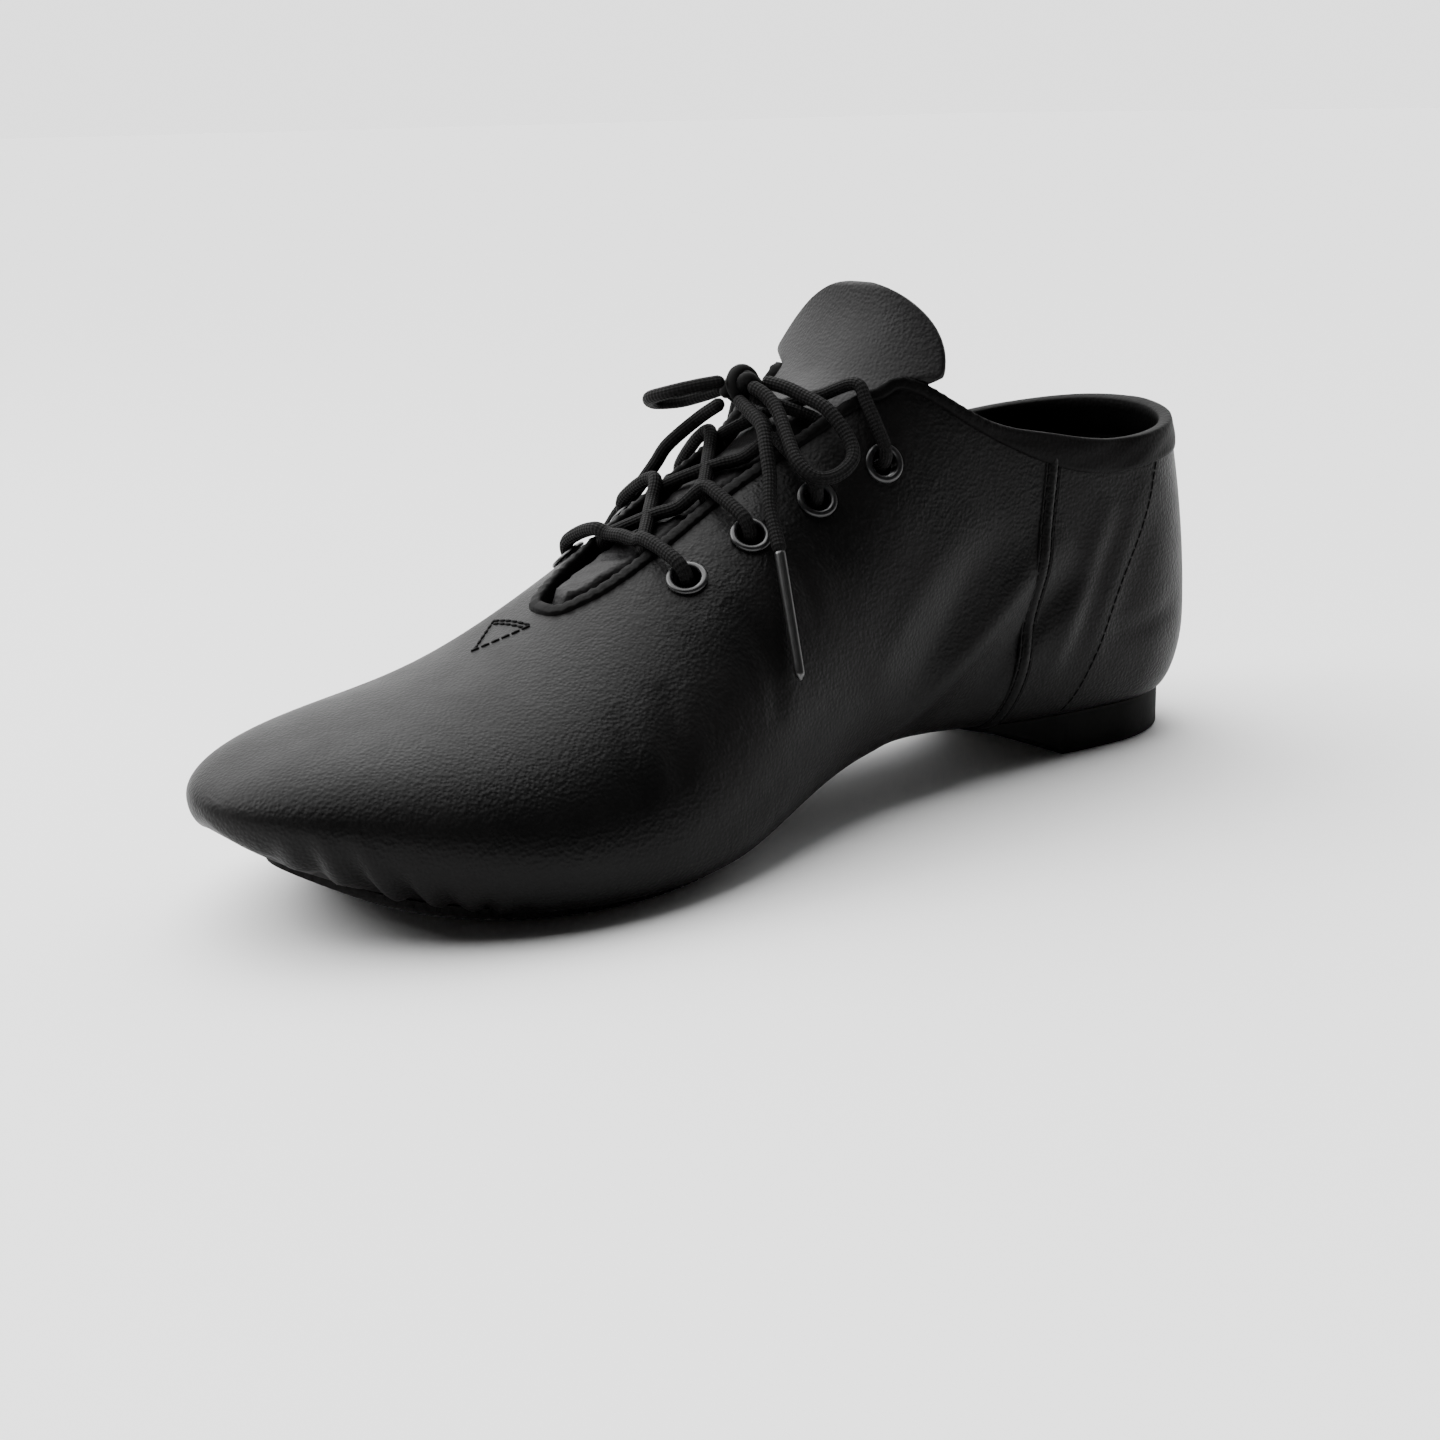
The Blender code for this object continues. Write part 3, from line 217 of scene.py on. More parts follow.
class Last:
    """The wooden form that the upper is drawn over, read by station, side and arc.

    On each side a section is a quarter ellipse from the feather edge up to the widest
    line and a quarter superellipse from there up to the closed crest. The plan is rounded
    off at both ends, and the heel's back leans in above and below its bulge.
    """

    def __init__(self) -> None:
        """Sample the surface once: its points by even steps of arc, its topline and widths."""
        self.table = [natural_cubic(SECTIONS, column) for column in range(1, 8)]
        quarter = np.pi / 2
        heel = HEEL_ROUND * (1 - np.cos(np.linspace(0, quarter, HEEL_ROWS)))
        toe = 1 - TOE_ROUND * (1 - np.sin(np.linspace(0, quarter, TOE_ROWS)))
        middle = np.linspace(HEEL_ROUND, 1 - TOE_ROUND, MIDDLE_ROWS)[1:-1]
        self.stations = np.concatenate([heel, middle, toe])
        outlines = np.stack([self.outline(side.value) for side in Side])
        runs = run_lengths(outlines)
        self.totals = runs[..., -1]
        share = np.linspace(0, 1, ARC_STEPS)
        self.grids = np.stack([
            np.stack([rowwise(share * run[:, -1:], run, line[..., k]) for k in range(3)], axis=-1)
            for line, run in zip(outlines, runs)
        ])
        self.edges = np.stack([self.edge_row(outlines[k], runs[k]) for k in (0, 1)])
        self.heights = np.linspace(*WIDTH_HEIGHTS)
        at = np.broadcast_to(self.heights, (len(self.stations), len(self.heights)))
        self.widths = np.stack([
            rowwise(at, line[:, LOWER_POINTS:, 2], self.reach(line)) for line in outlines
        ])

    def reach(self, outline: Array) -> Array:
        """Distance sideways from the crest, for the points above the widest line."""
        return np.abs(outline[:, LOWER_POINTS:, 1] - outline[:, -1:, 1])

    def lift(self, station: Array) -> Array:
        """Height of the soles' underside: raised arch, flat tread and toe spring.

        The heel's lift eases down to the tread, the arch adds a squared half sine between
        them, and the toe spring rises as a square past the tread.
        """
        run = (station - HEEL_SEAT_END) / (FLAT_START - HEEL_SEAT_END)
        heel = HEEL_LIFT * (1 - smooth(run))
        arch = ARCH_RISE * np.sin(np.pi * np.clip(run, 0, 1)) ** 2
        return heel + arch + TOE_SPRING * np.clip((station - FLAT_END) / (1 - FLAT_END), 0, 1) ** 2

    def squash(self, station: Array) -> Array:
        """Share of a section's height left towards the toe's tip."""
        toe = np.clip((station - 1 + TOE_ROUND) / TOE_ROUND, 0, 1)
        return np.sqrt(np.clip(1 - toe**3, 0, 1))

    def bottom(self, station: Array) -> Array:
        """Height of the upper's underside."""
        low = SOLE_THICKNESS + GAP + self.lift(station)
        return TIP_HEIGHT + (low - TIP_HEIGHT) * self.squash(station)

    def back_shift(self, station: Array, z: Array) -> Array:
        """How far the back of the heel leans towards the toe at height z.

        It grows with a power of the height above the bulge or below it, and fades forwards.
        """
        fade = np.clip(1 - station / BACK_REACH, 0, 1) ** 2
        above = np.clip((z - BULGE_HEIGHT) / (INSTEP_HEIGHT - BULGE_HEIGHT), 0, 1.7)
        below = np.clip((BULGE_HEIGHT - z) / (BULGE_HEIGHT - HEEL_LIFT - SOLE_THICKNESS), 0, 1)
        return fade * (BACK_LEAN * above**1.8 + BACK_TUCK * below**2)

    def half_width(self, station: Array, side: Array) -> Array:
        """Half width of the last: the table's, rounded off at the heel and the toe."""
        heel = np.clip(1 - station / HEEL_ROUND, 0, 1)
        toe = np.clip((station - 1 + TOE_ROUND) / TOE_ROUND, 0, 1)
        plan = np.sqrt(np.clip(1 - heel**2, 0, 1)) * np.clip(1 - toe**2.1, 0, 1) ** 0.52
        return BALL_WIDTH * plan * np.where(side < 0, self.table[0](station), self.table[1](station))

    def shift(self, station: Array) -> Array:
        """Sideways place of a section's middle."""
        return BALL_WIDTH * self.table[2](station)

    def feather(self, station: Array, side: Array) -> Array:
        """Half width of the upper's underside."""
        return self.half_width(station, side) * self.table[5](station)

    def outline(self, side: int) -> Array:
        """Points of every half section, from the feather edge up to the crest.

        Args:
            side: Sign of y of the side.

        Returns:
            One row of points for each kept station.
        """
        s = self.stations[:, None]
        half, widest = self.half_width(s, side), INSTEP_HEIGHT * self.table[3](s)
        crest, feather = INSTEP_HEIGHT * self.table[4](s), self.table[5](s)
        up = np.linspace(0, np.pi / 2, LOWER_POINTS + 1)[None, :-1]
        over = np.linspace(0, np.pi / 2, UPPER_POINTS)[None, :]
        low = SOLE_THICKNESS + GAP + self.lift(s)
        y = np.concatenate([half * (feather + (1 - feather) * np.sin(up)),
                            half * np.clip(np.cos(over), 0, 1) ** self.table[6](s)], axis=1)
        z = np.concatenate([widest - (widest - low) * np.cos(up),
                            widest + (crest - widest) * np.sin(over)], axis=1)
        z = TIP_HEIGHT + (z - TIP_HEIGHT) * self.squash(s)
        x = LENGTH * (0.5 - s) - self.back_shift(s, z)
        return np.stack([x, self.shift(s) + side * y, z], axis=-1)

    def edge_row(self, outline: Array, run: Array) -> Array:
        """Arc of the topline at every station: the softened lesser of collar and throat.

        Where the throat starts, its edge is lifted past the collar and eases down from there.

        Args:
            outline: Points of one side's half sections.
            run: Arc of each of these points.

        Returns:
            One arc for each kept station.
        """
        s = self.stations
        height = INSTEP_HEIGHT * natural_cubic(COLLAR)(s)[:, None]
        collar = rowwise(height, outline[..., 2], run)[:, 0]
        gap = BALL_WIDTH * natural_cubic(THROAT)(s)
        reach = -self.reach(outline)
        throat = rowwise(-gap[:, None], reach, run[:, LOWER_POINTS:])[:, 0]
        start = np.searchsorted(s, THROAT[0][0])
        lift = max(collar[start] - throat[start] + CORNER_LIFT, 0.0)
        throat = throat + lift * (1 - smooth((s - THROAT[0][0]) / CORNER_RUN))
        both = -CORNER_BLEND * np.logaddexp(-collar / CORNER_BLEND, -throat / CORNER_BLEND)
        plain = (s < THROAT[0][0]) | (-reach[:, 0] <= gap)
        return np.where(s >= THROAT_END, run[:, -1], np.where(plain, collar, both))

    def read(self, rows: Array, station: Array, side: Array) -> Array:
        """Interpolate a quantity kept per side and station at places of either side."""
        outer = np.interp(station, self.stations, rows[0])
        return np.where(side < 0, outer, np.interp(station, self.stations, rows[1]))

    def total(self, station: Array, side: Array) -> Array:
        """Arc from the feather edge to the crest."""
        return self.read(self.totals, station, side)

    def edge(self, station: Array, side: Array) -> Array:
        """Arc from the feather edge to the collar's or throat's edge."""
        edge = self.read(self.edges, station, side)
        return np.where(station >= THROAT_END, self.total(station, side), edge)

    def point(self, station: Array, side: Array, arc: Array) -> Array:
        """Point of the surface at an arc up from the feather edge, linear between grid points.

        A station below 0 runs on round the heel's back on the other side.

        Args:
            station: Places along the shoe.
            side: Sign of y of the side.
            arc: Distances up the section.

        Returns:
            Points in metres.
        """
        station, side, arc = np.broadcast_arrays(
            np.asarray(station, float), side, np.asarray(arc, float))
        side = np.where(station < 0, -side, side)
        station = np.abs(station)
        row = np.interp(station, self.stations, np.arange(len(self.stations)))
        share = np.clip(arc / np.maximum(self.total(station, side), 1e-9), 0, 1)
        column = share * (self.grids.shape[2] - 1)
        i = np.clip(row.astype(int), 0, self.grids.shape[1] - 2)
        j = np.clip(column.astype(int), 0, self.grids.shape[2] - 2)
        f, g = (row - i)[..., None], (column - j)[..., None]
        k = (side > 0).astype(int)
        low = self.grids[k, i, j] * (1 - g) + self.grids[k, i, j + 1] * g
        high = self.grids[k, i + 1, j] * (1 - g) + self.grids[k, i + 1, j + 1] * g
        return low * (1 - f) + high * f

    def ways(self, station: Array, side: Array, arc: Array) -> Arrays:
        """How the surface runs at a place, by central differences over small steps.

        Args:
            station: Places along the shoe.
            side: Sign of y of the side.
            arc: Distances up the section.

        Returns:
            Change of the point per station and per metre of arc, and the outward normal.
        """
        step, rise = 0.003, 0.0008
        ahead = self.point(station + step, side, arc) - self.point(station - step, side, arc)
        ahead = ahead / (2 * step)
        total = self.total(np.abs(station), side)
        up, down = np.minimum(arc + rise, total), np.maximum(arc - rise, 0)
        above = self.point(station, side, up) - self.point(station, side, down)
        above = above / np.maximum(up - down, 1e-9)[..., None]
        return ahead, above, unit(np.cross(ahead, above) * np.asarray(side, float)[..., None])

    def moved(self, station: Array, side: Array, arc: Array, step: Array) -> Arrays:
        """Move in the surface: least squares over its two parameters.

        Args:
            station: Places along the shoe.
            side: Sign of y of the side.
            arc: Distances up the section.
            step: Small steps in space.

        Returns:
            Stations and arcs reached.
        """
        ahead, above, _ = self.ways(station, side, arc)
        aa, ab, bb = (ahead * ahead).sum(-1), (ahead * above).sum(-1), (above * above).sum(-1)
        sa, sb = (step * ahead).sum(-1), (step * above).sum(-1)
        det = np.maximum(aa * bb - ab * ab, 1e-12)
        return station + (sa * bb - sb * ab) / det, arc + (sb * aa - sa * ab) / det

    def over(self, station: Array, arc: Array, height: Array) -> Array:
        """Point above the surface; arc is from the crest, below 0 on the outer side."""
        station, arc, height = np.broadcast_arrays(np.asarray(station, float), arc, height)
        side = np.where(arc < 0, -1, 1)
        up = self.total(station, side) - np.abs(arc)
        _, _, normal = self.ways(station, side, up)
        return self.point(station, side, up) + height[..., None] * normal

    def eyelet_arc(self, pair: int, side: int) -> Pair:
        """Arcs from the crest to the throat's edge and to the eyelet's middle."""
        station, offset = EYELETS[pair]
        gap = float(self.total(station, side) - self.edge(station, side))
        return gap, gap + offset

    def eyelet(self, pair: int, side: int) -> Arrays:
        """Middle of an eyelet on the last, and the direction it faces."""
        station = np.array(EYELETS[pair][0])
        up = self.total(station, side) - self.eyelet_arc(pair, side)[1]
        return self.point(station, side, up), self.ways(station, np.array(side), up)[2]


LAST = Last()


def to_linear(colour: str) -> tuple[float, float, float, float]:
    """Turn an sRGB hex colour into linear light, with full opacity."""
    shares = [int(colour[k:k + 2], 16) / 255 for k in (1, 3, 5)]
    return (*(c / 12.92 if c <= 0.04045 else ((c + 0.055) / 1.055) ** 2.4 for c in shares), 1.0)


def add_node(tree: bpy.types.NodeTree, kind: str, settings: dict | None = None,
             links: dict | None = None) -> bpy.types.Node:
    """Add one node.

    Args:
        tree: The node tree that gets it.
        kind: The node's type name.
        settings: Values by the name or number of a socket, or by the name of a property.
        links: Output sockets by the name or number of the input that each feeds.

    Returns:
        The node.
    """
    node = tree.nodes.new(kind)
    for name, value in (settings or {}).items():
        if isinstance(name, int) or name in node.inputs:
            node.inputs[name].default_value = value
        else:
            setattr(node, name, value)
    for name, socket in (links or {}).items():
        tree.links.new(socket, node.inputs[name])
    return node


def new_material(
        name: str, settings: dict) -> tuple[Material, bpy.types.NodeTree, bpy.types.Node]:
    """Make a material.

    Args:
        name: Its name.
        settings: Values by the name of a socket of its Principled shader.

    Returns:
        The material, its node tree and its shader.
    """
    material = bpy.data.materials.new(name)
    material.use_nodes = True
    tree = material.node_tree
    shader = tree.nodes["Principled BSDF"]
    for socket, value in settings.items():
        shader.inputs[socket].default_value = value
    return material, tree, shader


def mm_scale(size_mm: float) -> float:
    """Texture scale, in cells to the metre, of a pattern whose cells are size_mm wide."""
    return 1000.0 / size_mm


class Shading:
    """A new material's nodes, through the few patterns that the finishes share."""

    def __init__(self, name: str, settings: dict, space: str = "Object") -> None:
        """Make the material.

        Args:
            name: Its name.
            settings: Values by the name of a socket of its Principled shader.
            space: Coordinates that its patterns lie in.
        """
        self.material, self.tree, self.shader = new_material(name, settings)
        self.place = self.node("ShaderNodeTexCoord").outputs[space]

    def node(self, kind: str, settings: dict | None = None,
             links: dict | None = None) -> bpy.types.Node:
        """Add one node to this material."""
        return add_node(self.tree, kind, settings, links)

    def feed(self, name: str, socket: Socket) -> None:
        """Link a socket to an input of the shader."""
        self.tree.links.new(socket, self.shader.inputs[name])

    def noise(self, size_mm: float, settings: dict, place: Socket | None = None) -> Socket:
        """Noise with blotches size_mm wide, read at a place or at the material's own."""
        settings, links = {"Scale": mm_scale(size_mm), **settings}, {"Vector": place or self.place}
        return self.node("ShaderNodeTexNoise", settings, links).outputs["Fac"]

    def maths(self, operation: str, *inputs: Socket | float) -> Socket:
        """One step of arithmetic on sockets and numbers, in the order of the node's inputs."""
        numbers = {k: value for k, value in enumerate(inputs) if isinstance(value, float)}
        links = {k: socket for k, socket in enumerate(inputs) if k not in numbers}
        return self.node("ShaderNodeMath", {"operation": operation, **numbers}, links).outputs[0]

    def spread(self, value: Socket, start: float, end: float, low: float = 0.0,
               high: float = 1.0) -> Socket:
        """Stretch a value's range from start to end onto low to high."""
        settings = {"From Min": start, "From Max": end, "To Min": low, "To Max": high}
        return self.node("ShaderNodeMapRange", settings, {"Value": value}).outputs[0]

    def colour(self, dark: str, light: str, share: Socket) -> None:
        """Colour the shader between two sRGB colours by the share of the light one."""
        settings = {"data_type": "RGBA", 6: to_linear(dark), 7: to_linear(light)}
        self.feed("Base Color", self.node("ShaderNodeMix", settings, {0: share}).outputs[2])

    def relief(self, height: Socket, depth_mm: float, strength: float) -> None:
        """Raise the surface by depth_mm where a pattern is 1, shown by a share."""
        settings = {"Strength": strength, "Distance": depth_mm / 1000}
        self.feed("Normal", self.node("ShaderNodeBump", settings, {"Height": height}).outputs[0])


@dataclass(frozen=True)
class GrainLeather:
    """Soft full-grain calf, drum-dyed black and lightly oiled.

    Small round pebbles of grain under a satin dressing, with the dressing thinner and
    drier in soft patches, so that the gloss wanders.
    """

    name: str = "black_calf_leather"
    colour: str = "#070707"
    dry: str = "#0d0c0c"
    grain_mm: float = 0.7
    roughness: float = 0.44
    depth_mm: float = 0.15
    specular: float = 0.10
    fibre_mm: float = 0.45
    wrinkle_mm: float = 3.4
    slack_mm: float = 9.0
    wear_mm: float = 22.0
    fibre_weight: float = 0.35
    slack_weight: float = 0.9
    crease_weight: float = 5.0

    def make(self) -> Material:
        """Raise cells, fibres, slack and creases together, and let wide noise carry the wear.

        Returns:
            The material.
        """
        skin = Shading(self.name, {"Roughness": self.roughness, "Specular IOR Level": self.specular})
        cells = skin.node("ShaderNodeTexVoronoi", {
            "feature": "SMOOTH_F1", "Scale": mm_scale(self.grain_mm), "Smoothness": 0.6},
            {"Vector": skin.place}).outputs["Distance"]
        fibres = skin.noise(self.fibre_mm, {"Detail": 3.0, "Roughness": 0.6})
        slack = skin.noise(self.slack_mm, {"Detail": 2.5, "Roughness": 0.55, "Distortion": 0.4})
        wear = skin.noise(self.wear_mm, {"Detail": 4.0, "Roughness": 0.6})
        slant = skin.node("ShaderNodeMapping", {
            "Rotation": (0.3, 0.5, 0.2), "Scale": (1.0, 1.0, 0.42)}, {"Vector": skin.place})
        wrinkles = skin.noise(self.wrinkle_mm, {
            "Detail": 3.0, "Roughness": 0.62, "Distortion": 0.5}, slant.outputs["Vector"])
        worked = skin.node("ShaderNodeAttribute", {"attribute_name": "creased"}).outputs["Fac"]
        creases = skin.maths("MULTIPLY", wrinkles, skin.maths("MULTIPLY", worked, self.crease_weight))
        grain = skin.maths("MULTIPLY_ADD", fibres, self.fibre_weight, cells)
        soft = skin.maths("MULTIPLY_ADD", slack, self.slack_weight, grain)
        skin.relief(skin.maths("ADD", soft, creases), self.depth_mm, 0.7)
        skin.colour(self.colour, self.dry, skin.spread(wear, 0.40, 0.72))
        gloss = skin.spread(wear, 0.25, 0.75, self.roughness - 0.07, self.roughness + 0.10)
        skin.feed("Roughness", gloss)
        return skin.material


@dataclass(frozen=True)
class WovenCloth:
    """Plain-woven cotton or knitted lining: matt, with a fine crossed thread pattern.

    Real threads of about 0.4 mm would be too fine to see, so they are drawn coarser.
    The colour is lighter on the raised threads and darker between them: painted shade.
    """

    name: str = "black_woven_lining"
    colour: str = "#121213"
    # Colour of the raised threads; the darker colour between them is painted shade.
    light: str = "#201f20"
    thread_mm: float = 1.0
    depth_mm: float = 0.12

    def make(self) -> Material:
        """Cross two waves as threads; a wave repeats once in 2 pi / 20 of its texture's unit.

        Returns:
            The material.
        """
        cloth = Shading(self.name, {
            "Roughness": 0.9, "Specular IOR Level": 0.2, "Sheen Weight": 0.06, "Sheen Roughness": 0.5})
        waves = [cloth.node("ShaderNodeTexWave", {
            "bands_direction": axis, "Scale": mm_scale(self.thread_mm) * math.pi / 10,
            "Distortion": 1.0, "Detail": 1.0, "Detail Scale": 4.0}, {"Vector": cloth.place}).outputs["Fac"]
            for axis in ("X", "DIAGONAL")]
        cross = cloth.maths("MAXIMUM", *waves)
        cloth.relief(cross, self.depth_mm, 0.4)
        # Lighter on the raised threads and darker between them: painted shade in the weave.
        cloth.colour(self.colour, self.light, cross)
        return cloth.material


@dataclass(frozen=True)
class Suede:
    """Split suede, sanded: a short matt nap that lies in soft patches."""

    name: str = "black_sole_suede"
    colour: str = "#0b0a0a"
    brushed: str = "#161515"
    nap_mm: float = 0.5
    patch_mm: float = 14.0
    depth_mm: float = 0.2

    def make(self) -> Material:
        """Draw short fibres as fine noise and the brushed patches as wide noise.

        Returns:
            The material.
        """
        hide = Shading(self.name, {
            "Roughness": 0.95, "Specular IOR Level": 0.12, "Sheen Weight": 0.04,
            "Sheen Roughness": 0.4})
        hide.relief(hide.noise(self.nap_mm, {"Detail": 4.0, "Roughness": 0.7}), self.depth_mm, 0.6)
        patches = hide.noise(self.patch_mm, {"Detail": 3.0, "Distortion": 1.2})
        hide.colour(self.colour, self.brushed, patches)
        return hide.material


@dataclass(frozen=True)
class MouldedRubber:
    """Black rubber pressed in a mould: dull, with a faint pitted skin."""

    name: str = "black_moulded_rubber"
    colour: str = "#030303"
    roughness: float = 0.72
    pit_mm: float = 0.6
    dust_mm: float = 12.0
    depth_mm: float = 0.1

    def make(self) -> Material:
        """Draw fine pits as relief and dusty patches as roughness.

        Returns:
            The material.
        """
        block = Shading(self.name, {"Specular IOR Level": 0.10, "Base Color": to_linear(self.colour)})
        block.relief(block.noise(self.pit_mm, {"Detail": 3.0}), self.depth_mm, 0.35)
        dust = block.noise(self.dust_mm, {"Detail": 3.0})
        dull = block.spread(dust, 0.0, 1.0, self.roughness - 0.1, self.roughness + 0.15)
        block.feed("Roughness", dull)
        return block.material


@dataclass(frozen=True)
class BraidedCord:
    """Polyester cord braided round: crossing strands with a soft sheen.

    The piece's UV map runs once round the cord in u, and in v one unit to each
    circumference along it. Strands cross where both waves of the braid are high.
    The colour is lighter on the raised strands and darker between them: painted
    shade in the grooves of the braid.
    """

    name: str = "black_braided_polyester"
    colour: str = "#030303"
    # Colour of the raised strands; the darker colour between them is painted shade.
    light: str = "#0b0a0a"
    strands: int = 7
    pitch: float = 0.75
    depth_mm: float = 0.22

    def make(self) -> Material:
        """Draw the braid as the product of two slanting sine waves.

        Returns:
            The material.
        """
        cord = Shading(self.name, {"Roughness": 0.7, "Specular IOR Level": 0.10}, "UV")
        split = cord.node("ShaderNodeSeparateXYZ", {}, {"Vector": cord.place}).outputs
        turn = 2 * math.pi * self.strands
        waves = []
        for sign in (1, -1):
            along = cord.maths("MULTIPLY", split["Y"], sign * turn * self.pitch)
            waves.append(cord.maths("SINE", cord.maths("MULTIPLY_ADD", split["X"], turn, along)))
        raised = cord.spread(cord.maths("MULTIPLY", *waves), -0.6, 1.0)
        cord.relief(raised, self.depth_mm, 0.8)
        # The raised share also sets the colour: darker between the strands, as painted shade.
        cord.colour(self.colour, self.light, raised)
        return cord.material


@dataclass(frozen=True)
class EnamelledMetal:
    """Pressed brass eyelet, stove-enamelled black: glossy, and worn grey on its rim."""

    name: str = "black_enamelled_brass"
    colour: str = "#0f0f10"
    worn: str = "#1c1c1d"
    scuff_mm: float = 1.2

    def make(self) -> Material:
        """Draw a glossy dark skin with small scuffs.

        Returns:
            The material.
        """
        ring = Shading(self.name, {"Metallic": 0.3, "Coat Weight": 0.25, "Coat Roughness": 0.22})
        scuffs = ring.noise(self.scuff_mm, {"Detail": 4.0})
        ring.colour(self.colour, self.worn, ring.spread(scuffs, 0.45, 0.75))
        ring.feed("Roughness", ring.spread(scuffs, 0.0, 1.0, 0.24, 0.42))
        return ring.material


@dataclass(frozen=True)
class ShrunkFilm:
    """Lace tip: clear acetate film wrapped hot round the cord, so glossy over dark."""

    name: str = "clear_film_on_cord"
    colour: str = "#0b0b0b"
    ripple_mm: float = 2.0
    depth_mm: float = 0.2

    def make(self) -> Material:
        """Draw a dark body under a clear, slightly wavy coat.

        Returns:
            The material.
        """
        film = Shading(self.name, {
            "Base Color": to_linear(self.colour), "Roughness": 0.4, "Coat Weight": 0.6,
            "Coat Roughness": 0.10})
        film.relief(film.noise(self.ripple_mm, {"Detail": 2.0}), self.depth_mm, 0.3)
        return film.material


def grid_faces(rows: int, columns: int, closed: bool = False) -> Array:
    """Quads of a rows by columns grid of vertices; closed joins the last column to the first."""
    i = np.arange(rows - 1)[:, None]
    j = np.arange(columns if closed else columns - 1)[None, :]
    k = (j + 1) % columns
    near, far = i * columns, (i + 1) * columns
    return np.stack([near + j, near + k, far + k, far + j], -1).reshape(-1, 4)


def weld(points: Array, faces: Array, grain: float = 2e-6) -> Arrays:
    """Merge points that share a place and drop faces that collapse.

    Args:
        points: Vertices, some of them on the same place.
        faces: Quads by vertex number.
        grain: Distance below which two points are one.

    Returns:
        The numbers of the kept points, the faces by kept point, and which faces were kept.
    """
    _, first, number = np.unique(np.round(points / grain + 0.3).astype(np.int64), axis=0,
                                 return_index=True, return_inverse=True)
    faces = number.reshape(-1)[faces]
    kept = 1 + (np.diff(np.sort(faces, axis=1), axis=1) > 0).sum(1) >= 3
    return first, faces[kept], kept


def vertex_normals(points: Array, faces: Array) -> Array:
    """Average normal at each point of the quads around it, weighted by their area.

    Args:
        points: Vertices.
        faces: Quads by vertex number.

    Returns:
        Unit vectors.
    """
    diagonals = [points[faces[:, k + 2]] - points[faces[:, k]] for k in (0, 1)]
    flat = np.cross(*diagonals)
    normals = np.zeros_like(points)
    for corner in range(4):
        np.add.at(normals, faces[:, corner], flat)
    return unit(normals)


def signed_volume(points: Array, faces: Array) -> float:
    """Volume inside closed quads, above 0 where they face outwards."""
    a, b, c, d = (points[faces[:, k]] for k in range(4))
    return float((a * np.cross(b, c)).sum() + (a * np.cross(c, d)).sum()) / 6


def add_piece(name: str, points: Array, faces: Array, material: Material, slot: str,
              replaces: Sequence[str] = (), uv: Array | None = None, sharp: float = 50.0,
              creased: Array | None = None) -> bpy.types.Object:
    """Make one closed piece of the shoe that rides with the frame.

    Args:
        name: The piece's name.
        points: Its vertices in metres.
        faces: Its faces by vertex number, four to a row; a repeated corner makes a triangle.
        material: Its finish.
        slot: Not used.
        replaces: CAD nodes that it stands for.
        uv: One texture place for each vertex.
        sharp: Degrees past which an edge is shaded sharp.
        creased: Share of fine creasing at each vertex, read by the leather.

    Returns:
        The new object.
    """
    if signed_volume(points, faces) < 0:
        faces = faces[:, ::-1]
    first, welded, kept = weld(points, faces)
    real = welded != np.roll(welded, 1, axis=1)
    corners, count = welded[real], real.sum(1)
    mesh = bpy.data.meshes.new(name)
    mesh.vertices.add(len(first))
    mesh.vertices.foreach_set("co", points[first].astype(np.float32).ravel())
    mesh.loops.add(len(corners))
    mesh.loops.foreach_set("vertex_index", corners.astype(np.int32))
    mesh.polygons.add(len(welded))
    mesh.polygons.foreach_set("loop_start", (np.cumsum(count) - count).astype(np.int32))
    mesh.update(calc_edges=True)
    if uv is not None:
        layer = mesh.uv_layers.new(name="UVMap")
        layer.data.foreach_set("uv", uv[faces[kept]][real].astype(np.float32).ravel())
    if creased is not None:
        layer = mesh.attributes.new("creased", "FLOAT", "POINT")
        layer.data.foreach_set("value", creased[first].astype(np.float32))
    mesh.validate()
    mesh.shade_smooth()
    mesh.set_sharp_from_angle(angle=math.radians(sharp))
    mesh.materials.append(material)
    piece = bpy.data.objects.new(name, mesh)
    bpy.context.scene.collection.objects.link(piece)
    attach(piece, "root")
    if replaces:
        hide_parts(*replaces)
    log.info("%s: %d faces", name, len(mesh.polygons))
    return piece


def slab(top: Array, under: Array) -> Arrays:
    """Close the solid between two grids of the same size with a wall round their rims.

    Args:
        top: Grid of points of one face.
        under: Grid of points of the other.

    Returns:
        Points and quads.
    """
    rows, columns = top.shape[:2]
    size = rows * columns
    sheet = grid_faces(rows, columns)
    ring = np.concatenate([
        np.arange(columns), np.arange(1, rows) * columns + columns - 1,
        (rows - 1) * columns + np.arange(columns - 2, -1, -1), np.arange(rows - 2, 0, -1) * columns,
    ])
    after = np.roll(ring, -1)
    rim = np.stack([after, ring, ring + size, after + size], -1)
    points = np.concatenate([top.reshape(-1, 3), under.reshape(-1, 3)])
    return points, np.concatenate([sheet, sheet[:, ::-1] + size, rim])


